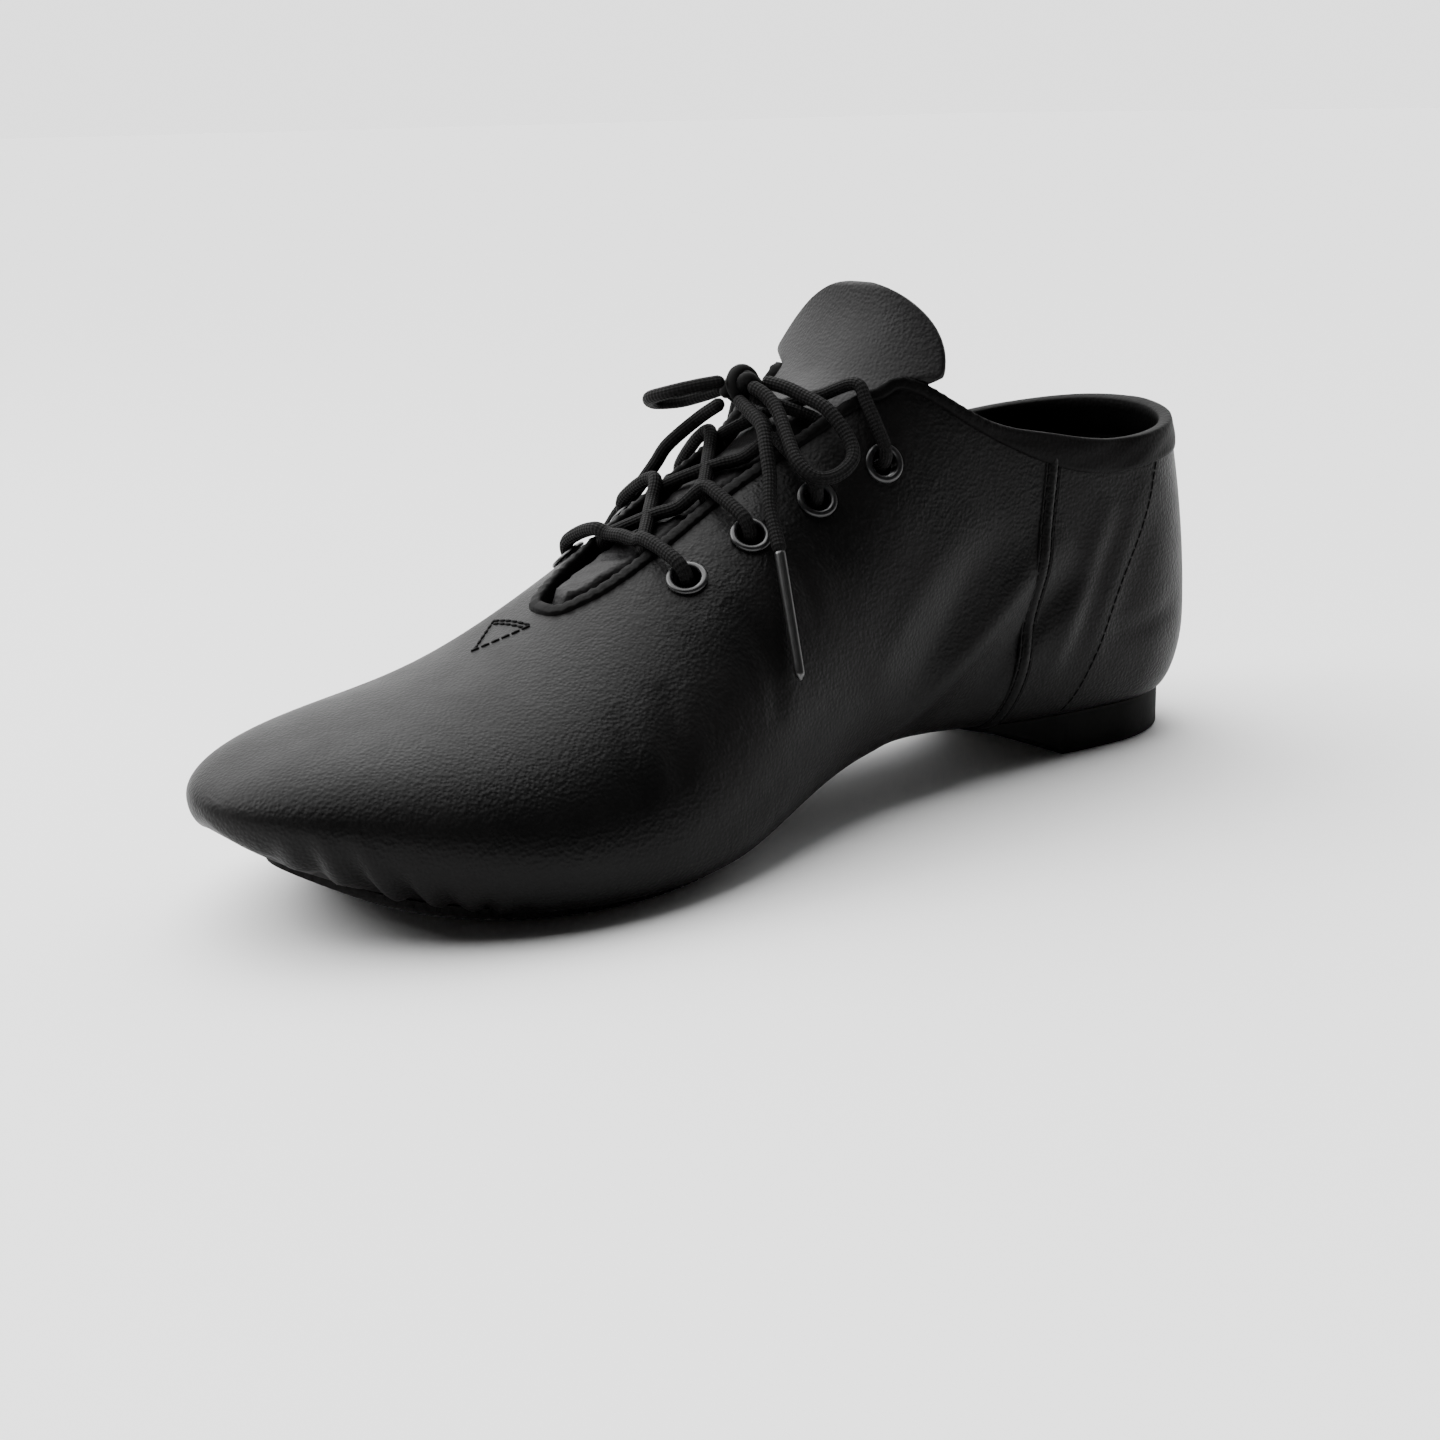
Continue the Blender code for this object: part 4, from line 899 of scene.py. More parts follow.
def smooth_path(route: Sequence[Sequence[float]] | Array, spacing: float) -> Array:
    """Even points along the Catmull-Rom curve through a route's points.

    Between two route points the curve is a cubic whose ends point along the line from the
    neighbour before to the neighbour after.

    Args:
        route: The points that it passes through.
        spacing: Distance from one point of the curve to the next.

    Returns:
        The curve's points.
    """
    knots = np.array(route, float)
    padded = np.concatenate([[2 * knots[0] - knots[1]], knots, [2 * knots[-1] - knots[-2]]])
    p0, p1, p2, p3 = (padded[k:len(padded) - 3 + k, None] for k in range(4))
    t = np.linspace(0, 1, CURVE_STEPS, endpoint=False)[None, :, None]
    fine = 0.5 * (2 * p1 + (p2 - p0) * t + (2 * p0 - 5 * p1 + 4 * p2 - p3) * t**2
                  + (3 * p1 - p0 - 3 * p2 + p3) * t**3)
    fine = np.concatenate([fine.reshape(-1, knots.shape[1]), knots[-1:]])
    run = run_lengths(fine)
    steps = np.linspace(0, run[-1], max(2, round(run[-1] / spacing)) + 1)
    return np.stack([np.interp(steps, run, fine[:, k]) for k in range(knots.shape[1])], axis=1)


# Steps of a curve between two points of its route, sides of a cord, and the two shrinking
# rings and the pole that close a tube: radii past the end, and share of the radius.
CURVE_STEPS = 24
CORD_SIDES = 16
TUBE_ENDS = ((0.55, 0.75), (0.85, 0.40), (0.92, 0.0))


def tube(path: Array, radius: Array | float, sides: int = CORD_SIDES,
         closed: bool = False) -> Arrays:
    """Carry a circle along a path.

    Each ring stands square to the path, turned so that its first spoke keeps to the path's
    flattest direction. Two shrinking rings and a pole close each end of an open tube.

    Args:
        path: Points along the middle line.
        radius: One radius, or one for each point.
        sides: Points in a ring.
        closed: Whether the path is a closed loop.

    Returns:
        Points, quads and texture places.
    """
    radius = np.broadcast_to(np.asarray(radius, float), len(path)).copy()
    if closed:
        path, radius = np.concatenate([path, path[:1]]), np.concatenate([radius, radius[:1]])
        tangent = unit(np.roll(path[:-1], -1, axis=0) - np.roll(path[:-1], 1, axis=0))
        tangent = np.concatenate([tangent, tangent[:1]])
    else:
        tangent = unit(np.gradient(path, axis=0))
        push, size = (np.array(column) * radius[[0, -1], None] for column in zip(*TUBE_ENDS))
        before = path[0] - tangent[0] * push[0, ::-1, None]
        after = path[-1] + tangent[-1] * push[1, :, None]
        path = np.concatenate([before, path, after])
        tangent = np.concatenate([[tangent[0]] * 3, tangent, [tangent[-1]] * 3])
        radius = np.concatenate([size[0, ::-1], radius, size[1]])
    flat = np.linalg.svd(path - path.mean(0), full_matrices=False)[2][2]
    across = unit(np.cross(tangent, flat))
    up = np.cross(across, tangent)
    angle = np.linspace(0, 2 * np.pi, sides + 1)
    ring = (np.cos(angle)[None, :, None] * across[:, None]
            + np.sin(angle)[None, :, None] * up[:, None])
    points = path[:, None] + radius[:, None, None] * ring
    along = run_lengths(path) / (2 * np.pi * radius.max())
    uv = np.stack(np.broadcast_arrays(np.linspace(0, 1, sides + 1)[None, :], along[:, None]), -1)
    return points.reshape(-1, 3), grid_faces(len(path), sides + 1), uv.reshape(-1, 2)


def joined(parts: Sequence[Arrays]) -> Arrays:
    """Put several (points, faces, texture places) together as one."""
    starts = np.cumsum([0] + [len(part[0]) for part in parts[:-1]])
    faces = np.concatenate([part[1] + start for part, start in zip(parts, starts)])
    rest = [np.concatenate([part[k] for part in parts]) for k in range(len(parts[0])) if k != 1]
    return rest[0], faces, *rest[1:]


# Step along a fold's line, height of the axis that its outward side is read from, and how
# far a tucked fold fades out past its end.
FOLD_STEP = 0.0008
FOLD_AXIS = 0.02
FOLD_FADE = 0.003


@dataclass(frozen=True)
class Fold:
    """A soft ridge or trough in the leather.

    route holds stations and arcs up from the feather edge in millimetres, width is the
    half width and depth the height (below 0 for a trough) in millimetres. lip is the
    share of the depth that rises or sinks beside it, on the side the route turns to.
    """

    side: Side
    route: tuple[Pair, ...]
    width: float
    depth: float
    lip: float = 0.3
    tucked: bool = False

    def height(self, points: Array) -> Array:
        """Height that the fold adds at each point.

        Across the fold it is a Gaussian bell, less a wider bell set to one side. Along it
        the bell grows from nothing and dies away as the root of a sine, or eases up to its
        full height at the end where the fold is tucked under the sole.

        Args:
            points: Points of the leather's outer face.

        Returns:
            One height for each point, below 0 in a trough.
        """
        route = smooth_path(self.route, 0.5)
        line = smooth_path(
            LAST.point(route[:, 0], self.side.value, route[:, 1] / 1000), FOLD_STEP)
        added = np.zeros(len(points))
        reach = 5 * self.width / 1000
        inside = (points > line.min(0) - reach) & (points < line.max(0) + reach)
        near = np.flatnonzero(inside.all(1))
        if not len(near):
            return added
        tangent = unit(np.gradient(line, axis=0))
        outward = unit((line - [0.0, 0.0, FOLD_AXIS]) * [0.0, 1.0, 1.0])
        across = unit(np.cross(outward, tangent))
        gap = points[near, None] - line[None]
        closest = np.argmin((gap**2).sum(-1), axis=1)
        chosen = gap[np.arange(len(near)), closest]
        run = closest * FOLD_STEP + (chosen * tangent[closest]).sum(-1)
        length = FOLD_STEP * max(len(line) - 1, 1)
        share = np.clip(run / length, 0, 1)
        grown = np.sqrt(np.maximum(np.sin(np.pi * share), 0))
        along = smooth(1.7 * share) if self.tucked else grown
        past = np.exp(-(np.maximum(run - length, 0) / FOLD_FADE) ** 2)
        off = (chosen * across[closest]).sum(-1) * 1000
        beside = np.exp(-((off - 1.8 * self.width) / (1.3 * self.width)) ** 2)
        bell = np.exp(-(off / self.width) ** 2) - self.lip * beside
        added[near] = self.depth / 1000 * bell * along * past
        return added


OUT, INN = Side.OUTER, Side.INNER

# Folds of the soft upper: those of the quarter and heel, the wrinkles at the lower
# eyelets, the pleats drawn in under the toe, and a like but different set inside.
FOLDS = (
    Fold(OUT, ((0.225, 42), (0.26, 38.5), (0.305, 30), (0.35, 22), (0.40, 14), (0.45, 8)),
         3.2, 1.10, 0.5),
    Fold(OUT, ((0.20, 36), (0.24, 31), (0.28, 23), (0.32, 14), (0.36, 7)), 3.0, -0.75, 0.3),
    Fold(OUT, ((0.17, 48), (0.20, 36), (0.225, 24), (0.25, 13)), 2.6, 0.55, 0.6),
    Fold(OUT, ((0.12, 50), (0.15, 40), (0.18, 27), (0.20, 16)), 2.8, 0.45, 0.5),
    Fold(OUT, ((0.29, 46), (0.34, 37), (0.39, 26), (0.44, 16)), 3.6, -0.60, 0.2),
    Fold(OUT, ((0.33, 50), (0.38, 42), (0.43, 32), (0.47, 22)), 3.4, 0.40, 0.4),
    Fold(OUT, ((0.07, 24), (0.12, 20), (0.17, 19)), 2.4, -0.35, 0.3),
    Fold(OUT, ((0.60, 54), (0.590, 46), (0.585, 37), (0.595, 28)), 2.3, -0.34, 0.5),
    Fold(OUT, ((0.645, 52), (0.640, 43), (0.645, 34)), 2.2, -0.28, 0.5),
    Fold(OUT, ((0.54, 60), (0.53, 50), (0.53, 41)), 2.0, -0.30, 0.4),
    Fold(OUT, ((0.68, 42), (0.69, 32), (0.70, 22)), 2.2, -0.35, 0.5),
    Fold(OUT, ((0.72, 40), (0.73, 30), (0.735, 20)), 2.0, -0.28, 0.6),
    Fold(OUT, ((0.52, 26), (0.58, 20), (0.64, 14), (0.70, 10)), 3.2, -0.35, 0.4),
    Fold(OUT, ((0.978, 9.0), (0.974, 4.5), (0.967, -1.5)), 1.1, -0.55, 0.3, True),
    Fold(OUT, ((0.964, 12.0), (0.953, 6.0), (0.938, -1.5)), 1.2, -1.15, 0.4, True),
    Fold(OUT, ((0.943, 14.5), (0.932, 8.5), (0.917, 3.5), (0.898, -1.5)), 1.2, -1.60, 0.5, True),
    Fold(OUT, ((0.914, 13.5), (0.904, 8.0), (0.889, 3.0), (0.870, -1.5)), 1.2, -1.70, 0.5, True),
    Fold(OUT, ((0.886, 11.5), (0.877, 6.5), (0.864, 2.0), (0.851, -1.5)), 1.2, -1.35, 0.4, True),
    Fold(OUT, ((0.857, 9.5), (0.850, 5.0), (0.839, -1.5)), 1.1, -0.95, 0.4, True),
    Fold(OUT, ((0.828, 8.0), (0.824, 4.0), (0.816, -1.5)), 1.1, -0.60, 0.3, True),
    Fold(INN, ((0.974, 9.5), (0.969, 4.5), (0.960, -1.5)), 1.1, -0.65, 0.3, True),
    Fold(INN, ((0.955, 12.5), (0.945, 6.5), (0.930, -1.5)), 1.2, -1.10, 0.4, True),
    Fold(INN, ((0.928, 13.5), (0.917, 7.5), (0.901, -1.5)), 1.2, -1.30, 0.4, True),
    Fold(INN, ((0.898, 11.5), (0.889, 6.5), (0.874, -1.5)), 1.2, -1.05, 0.4, True),
    Fold(INN, ((0.866, 9.0), (0.860, 4.5), (0.850, -1.5)), 1.1, -0.70, 0.3, True),
    Fold(INN, ((0.21, 44), (0.26, 37), (0.31, 28), (0.37, 18), (0.42, 10)), 3.2, 0.80, 0.5),
    Fold(INN, ((0.19, 33), (0.23, 26), (0.28, 17), (0.33, 9)), 3.0, -0.60, 0.3),
    Fold(INN, ((0.33, 50), (0.38, 40), (0.44, 28), (0.49, 18)), 3.4, -0.45, 0.3),
    Fold(INN, ((0.60, 52), (0.59, 44), (0.585, 36)), 2.2, -0.32, 0.5),
    Fold(INN, ((0.64, 50), (0.632, 42), (0.63, 33)), 2.2, -0.30, 0.5),
    Fold(INN, ((0.69, 38), (0.70, 28), (0.705, 18)), 2.0, -0.30, 0.5),
)


def fold_height(points: Array) -> Array:
    """Height that all folds together add at each point."""
    return sum(fold.height(points) for fold in FOLDS)


@dataclass
class Upper:
    """The hollow leather upper: one wall over the last, open at collar, throat and soles."""

    side_columns: int = 84
    under_columns: int = 7
    heel_rows: int = 26
    quarter_step: float = 0.0050
    quarter_end: float = 0.655
    foot_start: float = 0.6555
    foot_rows: int = 16
    vamp_step: float = 0.0046
    toe_rows: int = 72
    lasting_margin: float = 0.008
    heel_opening: Pair = (0.05, 0.20)
    forefoot_opening: Pair = (0.66, 0.86)
    eyelet_clearance: float = 0.0031
    eyelet_flat: float = 0.003
    underside_within: float = 0.0003
    sole_fade: float = 0.0015

    # Fine creasing: its share, where it starts or lies, and how far it reaches.
    lacing_reach: float = 0.011
    flex_share: float = 0.55
    flex_station: float = 0.63
    flex_run: float = 0.06
    flex_height: Pair = (0.050, 0.03)
    toe_share: float = 0.35
    toe_station: Pair = (0.80, 0.08)
    toe_height: Pair = (0.016, 0.008)

    def eyelet_middles(self) -> list[Array]:
        """Middles of all eyelets on the last."""
        return [LAST.eyelet(pair, side.value)[0] for pair in range(len(EYELETS)) for side in Side]

    def stations(self) -> Array:
        """Stations of the rows, drawn together where the plan or the throat's edge bends.

        Returns:
            The stations in rising order, with those of both openings.
        """
        quarter = np.pi / 2
        dense = [
            HEEL_ROUND * (1 - np.cos(np.linspace(0, quarter, self.heel_rows))),
            np.arange(HEEL_ROUND, self.quarter_end, self.quarter_step)[1:],
            np.linspace(self.foot_start, THROAT_END, self.foot_rows),
            np.arange(THROAT_END, 1 - TOE_ROUND, self.vamp_step)[1:],
            1 - TOE_ROUND * (1 - np.sin(np.linspace(0, quarter, self.toe_rows))),
        ]
        return np.sort(np.concatenate([*dense, self.heel_opening, self.forefoot_opening]))

    def surface(self) -> Arrays:
        """Lay the grid of the outer face, before any fold.

        Across each row the grid comes down the outer side from the topline to the feather
        edge, crosses the underside and goes up the inner side.

        Returns:
            Points and quads.
        """
        s = self.stations()[:, None]
        share = np.linspace(0, 1, self.side_columns + 1)[None, :]
        sides = [LAST.point(s, side.value, share * LAST.edge(s, side.value)) for side in Side]
        middle = np.linspace(0, 0.5, self.under_columns + 1)
        margin = np.linspace(0.5, 1, 5)[1:-1]
        across = np.concatenate([-margin[::-1], -middle[::-1], middle[1:], margin])
        sign = np.where(across < 0, -1, 1)[None, :]
        edge = LAST.feather(s, sign)
        inset = np.minimum(self.lasting_margin, edge / 2)
        part = np.abs(across)[None, :]
        reach = np.where(part <= 0.5, part / 0.5 * (edge - inset), edge - inset * (1 - part) / 0.5)
        low = LAST.bottom(s)
        x = LENGTH * (0.5 - s) - LAST.back_shift(s, low)
        under = np.stack(np.broadcast_arrays(x, LAST.shift(s) + sign * reach, low), -1)
        grid = np.concatenate([sides[0][:, ::-1], under, sides[1]], axis=1)
        faces = grid_faces(*grid.shape[:2])
        first = self.side_columns + len(margin)
        last = first + 2 * self.under_columns
        row, column = np.divmod(np.arange(len(faces)), grid.shape[1] - 1)
        between = (column >= first) & (column < last)
        cut = np.zeros(len(faces), bool)
        for start, end in (self.heel_opening, self.forefoot_opening):
            cut |= between & (s[row, 0] >= start - 1e-6) & (s[row + 1, 0] <= end + 1e-6)
        return grid.reshape(-1, 3), faces[~cut]

    def shell(self, points: Array, faces: Array) -> Arrays:
        """Give the surface its folds and its wall, and join both faces along every rim.

        The outer face is the surface plus its folds along the normals, and the inner face
        lies one wall further in.

        Args:
            points: The surface's vertices.
            faces: Its quads.

        Returns:
            Points and quads of the closed wall.
        """
        first, faces, _ = weld(points, faces)
        points = points[first]
        if (vertex_normals(points, faces) * (points - points.mean(0))).sum() < 0:
            faces = faces[:, ::-1]
        normals = vertex_normals(points, faces)
        height = fold_height(points)
        centres = points[faces].mean(1)
        cut = np.zeros(len(faces), bool)
        for middle in self.eyelet_middles():
            cut |= np.linalg.norm(centres - middle, axis=1) < self.eyelet_clearance
            near = np.linalg.norm(points - middle, axis=1)
            height = height * smooth((near - self.eyelet_flat) / self.eyelet_flat)
        station = np.clip(0.5 - points[:, 0] / LENGTH, 0, 1)
        side = np.where(points[:, 1] < LAST.shift(station), -1, 1)
        under = LAST.feather(station, side) - np.abs(points[:, 1] - LAST.shift(station))
        flat = points[:, 2] < LAST.bottom(station) + self.underside_within
        height = np.where(flat, height * smooth(1 - under / self.sole_fade), height)
        faces = faces[~cut]
        size = len(points)
        ahead, back = faces.ravel(), np.roll(faces, -1, axis=1).ravel()
        real = ahead != back
        ahead, back = ahead[real], back[real]
        rim = ~np.isin(ahead * size + back, back * size + ahead)
        ahead, back = ahead[rim], back[rim]
        walls = np.stack([back, ahead, ahead + size, back + size], -1)
        outer = points + normals * height[:, None]
        inner = outer - normals * UPPER_WALL
        return np.concatenate([outer, inner]), np.concatenate([faces, faces[:, ::-1] + size, walls])

    def build(self, leather: Material) -> None:
        """Make the shell in place of the CAD upper."""
        points, faces = self.shell(*self.surface())
        add_piece("upper_shell", points, faces, leather, "upper_leather", ["upper"], sharp=60,
                  creased=self.worked(points))

    def worked(self, points: Array) -> Array:
        """Share of fine creasing: round the eyelets, at the lower quarter and under the toe.

        Args:
            points: Points of the leather.

        Returns:
            One share for each point.
        """
        near = np.full(len(points), np.inf)
        for middle in self.eyelet_middles():
            near = np.minimum(near, np.linalg.norm((points - middle) * [1.0, 1.0, 0.8], axis=1))
        station = 0.5 - points[:, 0] / LENGTH

        def below(height: Pair) -> Array:
            """Ease in below a height, over a distance."""
            return smooth((height[0] - points[:, 2]) / height[1])

        lacing = np.exp(-(near / self.lacing_reach) ** 2)
        flex = self.flex_share * np.exp(-((station - self.flex_station) / self.flex_run) ** 2)
        start, run = self.toe_station
        toe = self.toe_share * smooth((station - start) / run) * below(self.toe_height)
        return np.clip(np.maximum(lacing, flex * below(self.flex_height)) + toe, 0, 1)


@dataclass
class Topline:
    """The closed line round the throat and collar, which the binding and cuff follow."""

    spacing: float = 0.0010
    back_run: float = 0.02
    side_points: int = 900
    back_points: int = 300

    def __post_init__(self) -> None:
        """Walk from the throat round the heel and back, and space the line's points evenly."""
        back = np.linspace(-self.back_run, self.back_run, self.back_points)
        front = np.linspace(self.back_run, THROAT_END, self.side_points)
        signed = np.concatenate([-front[::-1], back[1:-1], front])
        side = np.where(signed < 0, -1, 1)
        line = LAST.point(np.abs(signed), side, LAST.edge(np.abs(signed), side))
        run = run_lengths(line)
        steps = np.linspace(0, run[-1], round(run[-1] / self.spacing) + 1)[:-1]
        self.signed = np.interp(steps, run, signed)
        self.side = np.where(self.signed < 0, -1, 1)
        self.station = np.abs(self.signed)
        self.arc = LAST.edge(self.station, self.side)
        self.points = LAST.point(self.station, self.side, self.arc)
        self.tangent = unit(np.roll(self.points, -1, axis=0) - np.roll(self.points, 1, axis=0))
        self.normal = LAST.ways(self.station, self.side, self.arc)[2]
        self.inward = unit(np.cross(self.tangent, self.normal))
        lower = LAST.point(self.station, self.side, self.arc - 0.002) - self.points
        if (lower * self.inward).sum() < 0:
            self.inward = -self.inward

    def offset(self, into: Array, height: Array) -> Array:
        """Points a way into the leather from the edge and at a height off its surface.

        The step is taken in the surface's own two parameters, so that a wide band keeps to
        the last.

        Args:
            into: Distances from the edge, a row for each point of the line.
            height: Heights off the surface, likewise.

        Returns:
            Points in metres.
        """
        station, side, arc = (np.broadcast_to(v[:, None], into.shape)
                              for v in (self.station, self.side, self.arc))
        step = self.inward[:, None] * into[..., None]
        station, arc = LAST.moved(station, side, arc, step)
        side = np.where(station < 0, -side, side)
        station = np.abs(station)
        arc = np.minimum(arc, LAST.total(station, side))
        normal = LAST.ways(station, side, arc)[2]
        return LAST.point(station, side, arc) + normal * height[..., None]


@dataclass
class Cuff:
    """The soft band turned over the collar, which narrows to a binding at the throat."""

    width: float = 0.0070
    inside: float = 0.0085
    least_inside: float = 0.0022
    slack_mm: float = 0.16
    ripple_mm: float = 0.13
    gathered_gain: float = 1.5
    gathered_mm: float = 0.18
    shares: Table = (
        (0.00, 1.00), (0.10, 0.88), (0.20, 0.94), (0.25, 0.78), (0.30, 0.44), (0.36, 0.32),
        (0.45, 0.32), (THROAT_END, 0.32),
    )

    # Cross-section from the outer lower edge, over the topline and down inside: share of
    # the outer width, share of the inner width, millimetres into the leather, and height.
    section: Table = (
        (1.00, 0.0, 0.15, -0.30), (1.00, 0.0, 0.02, 0.12), (1.00, 0.0, -0.22, 0.40),
        (0.86, 0.0, 0.0, 0.52), (0.72, 0.0, 0.0, 0.58), (0.58, 0.0, 0.0, 0.66),
        (0.42, 0.0, 0.0, 0.72), (0.26, 0.0, 0.0, 0.74), (0.10, 0.0, 0.0, 0.70),
        (0.0, 0.0, -0.12, 0.56), (0.0, 0.0, -0.30, 0.20), (0.0, 0.0, -0.38, -0.35),
        (0.0, 0.0, -0.38, -1.20), (0.0, 0.0, -0.28, -1.85), (0.0, 0.0, 0.0, -2.25),
        (0.0, 0.25, 0.0, -2.42), (0.0, 0.60, 0.0, -2.40), (0.0, 0.90, 0.0, -2.15),
        (0.0, 1.00, 0.0, -1.75), (0.0, 1.00, 0.1, -1.30),
    )

    def build(self, topline: Topline, leather: Material) -> None:
        """Carry the cross-section round the topline, with slight puckers along it.

        The wide cuff swells by two slow waves, and the gathered binding by a quick one.

        Args:
            topline: The line that it follows.
            leather: Its finish.
        """
        share = natural_cubic(self.shares)(topline.station)[:, None]
        rows = np.array(self.section)
        outer, inner, into, height = (rows[None, :, k] for k in range(4))
        run = np.arange(len(topline.points))[:, None] * topline.spacing * 1000
        slow = np.sin(run / 3.1 + 1.6 * np.sin(run / 7.7) + 5 * outer)
        slack = self.slack_mm * slow * np.sin(run / 13.0 + 3 * outer)
        ripple = self.ripple_mm * np.sin(2 * np.pi * run / 2.4 + 0.8 * np.sin(run / 5.0))
        gathered = smooth((0.5 - share) / 0.2)
        tight = self.gathered_gain * ripple + self.gathered_mm
        puff = np.where(height > 0.3, slack * (1 - gathered) + tight * gathered, 0.0)
        inside = np.maximum(self.inside * share, self.least_inside)
        across = outer * self.width * share + inner * inside + into / 1000
        points = topline.offset(across, (height + puff) / 1000)
        count = points.shape[0] * points.shape[1]
        faces = grid_faces(len(points) + 1, points.shape[1], closed=True) % count
        add_piece("collar_cuff", points.reshape(-1, 3), faces, leather, "upper_leather", sharp=80)


@dataclass
class SideSeam:
    """Raised strip over the join of quarter and back, stitched down both edges."""

    station: float = 0.266
    slant: float = 0.052
    rows: int = 90
    below_top: float = 0.0045
    width_mm: float = 4.4
    rise_mm: float = 0.65
    thickness: float = 0.0004
    groove: float = 0.60
    thread_rise: float = 0.16
    thread_from: int = 3

    # Half of the cross-section: shares of the half width and of the rise.
    profile: Table = (
        (0.0, 1.00), (0.20, 0.90), (0.34, 0.62), (0.48, 0.10), (0.60, 0.02), (0.72, 0.10),
        (0.84, 0.40), (0.92, 0.42), (0.98, 0.15), (1.0, -0.6),
    )

    def route(self, side: Side) -> Arrays:
        """Stations and arcs of the strip's middle, from the feather edge up to the cuff."""
        share = np.linspace(0.0, 1.0, self.rows)
        station = self.station + self.slant * (0.5 - share)
        return station, share * (LAST.edge(station, side.value) - self.below_top)

    def build(self, leather: Material) -> list[Arrays]:
        """Make both strips: the cross-section carried up the folded leather.

        Args:
            leather: Their finish.

        Returns:
            The lines that their stitches follow, each with its normals.
        """
        parts, lines = [], []
        half = np.array(self.profile).T
        across = np.concatenate([-half[0, :0:-1], half[0]])
        rise = np.concatenate([half[1, :0:-1], half[1]])
        for side in Side:
            station, arc = self.route(side)
            points = LAST.point(station, side.value, arc)
            normal = LAST.ways(station, np.full(self.rows, side.value), arc)[2]
            points = points + normal * fold_height(points)[:, None]
            beside = np.cross(normal, unit(np.gradient(points, axis=0)))
            off = across * self.width_mm / 2000
            top = (points[:, None] + beside[:, None] * off[None, :, None]
                   + normal[:, None] * (rise * self.rise_mm / 1000)[None, :, None])
            under = top - normal[:, None] * self.thickness * (rise > 0)[None, :, None]
            parts.append(slab(top, under))
            # Lines for the black stitches in both grooves; their near end-to-end bars also give the
            # grooves painted shade.
            thread = points + normal * self.rise_mm * self.thread_rise / 1000
            for offset in (-self.groove, self.groove):
                line = thread + beside * offset * self.width_mm / 2000
                lines.append((line[self.thread_from:], normal[self.thread_from:]))
        add_piece("side_seam_strips", *joined(parts), leather, "upper_leather", sharp=70)
        return lines


@dataclass
class Stitching:
    """Rows of short waxed stitches, each a small domed bar laid along its line."""

    length_mm: float = 1.9
    pitch_mm: float = 2.5
    width_mm: float = 0.55
    flatness: float = 0.7

    # The bar's rings: share of its length and share of its half width.
    rings: Table = ((-0.5, 0.05), (-0.42, 0.75), (0.0, 1.0), (0.42, 0.75), (0.5, 0.05))

    def bars(self, line: Array, normal: Array) -> Arrays:
        """Repeat one bar of five rings of six points at an even pitch along a line.

        Args:
            line: Points of the line.
            normal: Outward direction at each point.

        Returns:
            Points and quads.
        """
        run = run_lengths(line)
        places = np.arange(0.5 * self.pitch_mm, run[-1] * 1000, self.pitch_mm) / 1000
        middle, tangent, up = (
            np.stack([np.interp(places, run, values[:, k]) for k in range(3)], -1)
            for values in (line, np.gradient(line, axis=0), normal)
        )
        tangent, up = unit(tangent), unit(up)
        beside = np.cross(up, tangent)
        rings = np.array(self.rings).T
        along, size = rings[0] * self.length_mm / 1000, rings[1] * self.width_mm / 2000
        angle = np.arange(6) * np.pi / 3
        wide, high = size[:, None] * np.cos(angle), self.flatness * size[:, None] * np.sin(angle)
        points = (middle[:, None, None] + tangent[:, None, None] * along[None, :, None, None]
                  + beside[:, None, None] * wide[None, ..., None]
                  + up[:, None, None] * high[None, ..., None])
        ring = grid_faces(5, 6, closed=True)
        caps = np.array([[0, 1, 2, 3], [0, 3, 4, 5], [27, 26, 25, 24], [24, 29, 28, 27]])
        one = np.concatenate([ring, caps[:, ::-1]])
        faces = one[None] + 30 * np.arange(len(places))[:, None, None]
        return points.reshape(-1, 3), faces.reshape(-1, 4)

    def build(self, name: str, lines: Sequence[Arrays],
              thread: Material) -> None:
        """Make one piece of all the bars of some lines."""
        points, faces = joined([self.bars(line, normal) for line, normal in lines])
        add_piece(name, points, faces, thread, "lace_braid", sharp=80)


# Seam of the back piece, as station and millimetres up from the feather edge, and the
# tack sewn under the throat, as stations and millimetres from the crest of its corners.
BACK_SEAM = (
    (0.098, 55.5), (0.105, 53.4), (0.120, 46.0), (0.135, 39.3), (0.165, 28.3), (0.190, 16.2),
    (0.213, 4.0),
)
TACK = (
    ((0.715, 10.6), (0.714, -1.6)), ((0.714, -1.6), (0.7525, 3.8)),
    ((0.7525, 3.8), (0.715, 10.6)), ((0.719, 9.4), (0.718, -0.2)),
)
TACK_POINTS = 40
SEAM_STEP = 0.0015


def vamp_line(start: Sequence[float], end: Sequence[float],
              height_mm: float) -> Arrays:
    """A line over the vamp between two (station, millimetres from the crest), with normals."""
    station, arc = (np.linspace(start[k], end[k], TACK_POINTS) for k in (0, 1))
    points = LAST.over(station, arc / 1000, np.full(TACK_POINTS, height_mm / 1000))
    return points, unit(points - LAST.over(station, arc / 1000, np.full(TACK_POINTS, -0.001)))


def on_upper(side: Side, route: Sequence[Sequence[float]],
             height_mm: float) -> Arrays:
    """A line on the folded leather through (station, millimetres up) points, with normals."""
    knots = smooth_path(np.array(route) * np.array([[1.0, 0.001]]), SEAM_STEP)
    points = LAST.point(knots[:, 0], side.value, knots[:, 1])
    normal = LAST.ways(knots[:, 0], np.full(len(knots), side.value), knots[:, 1])[2]
    return points + normal * (fold_height(points) + height_mm / 1000)[:, None], normal


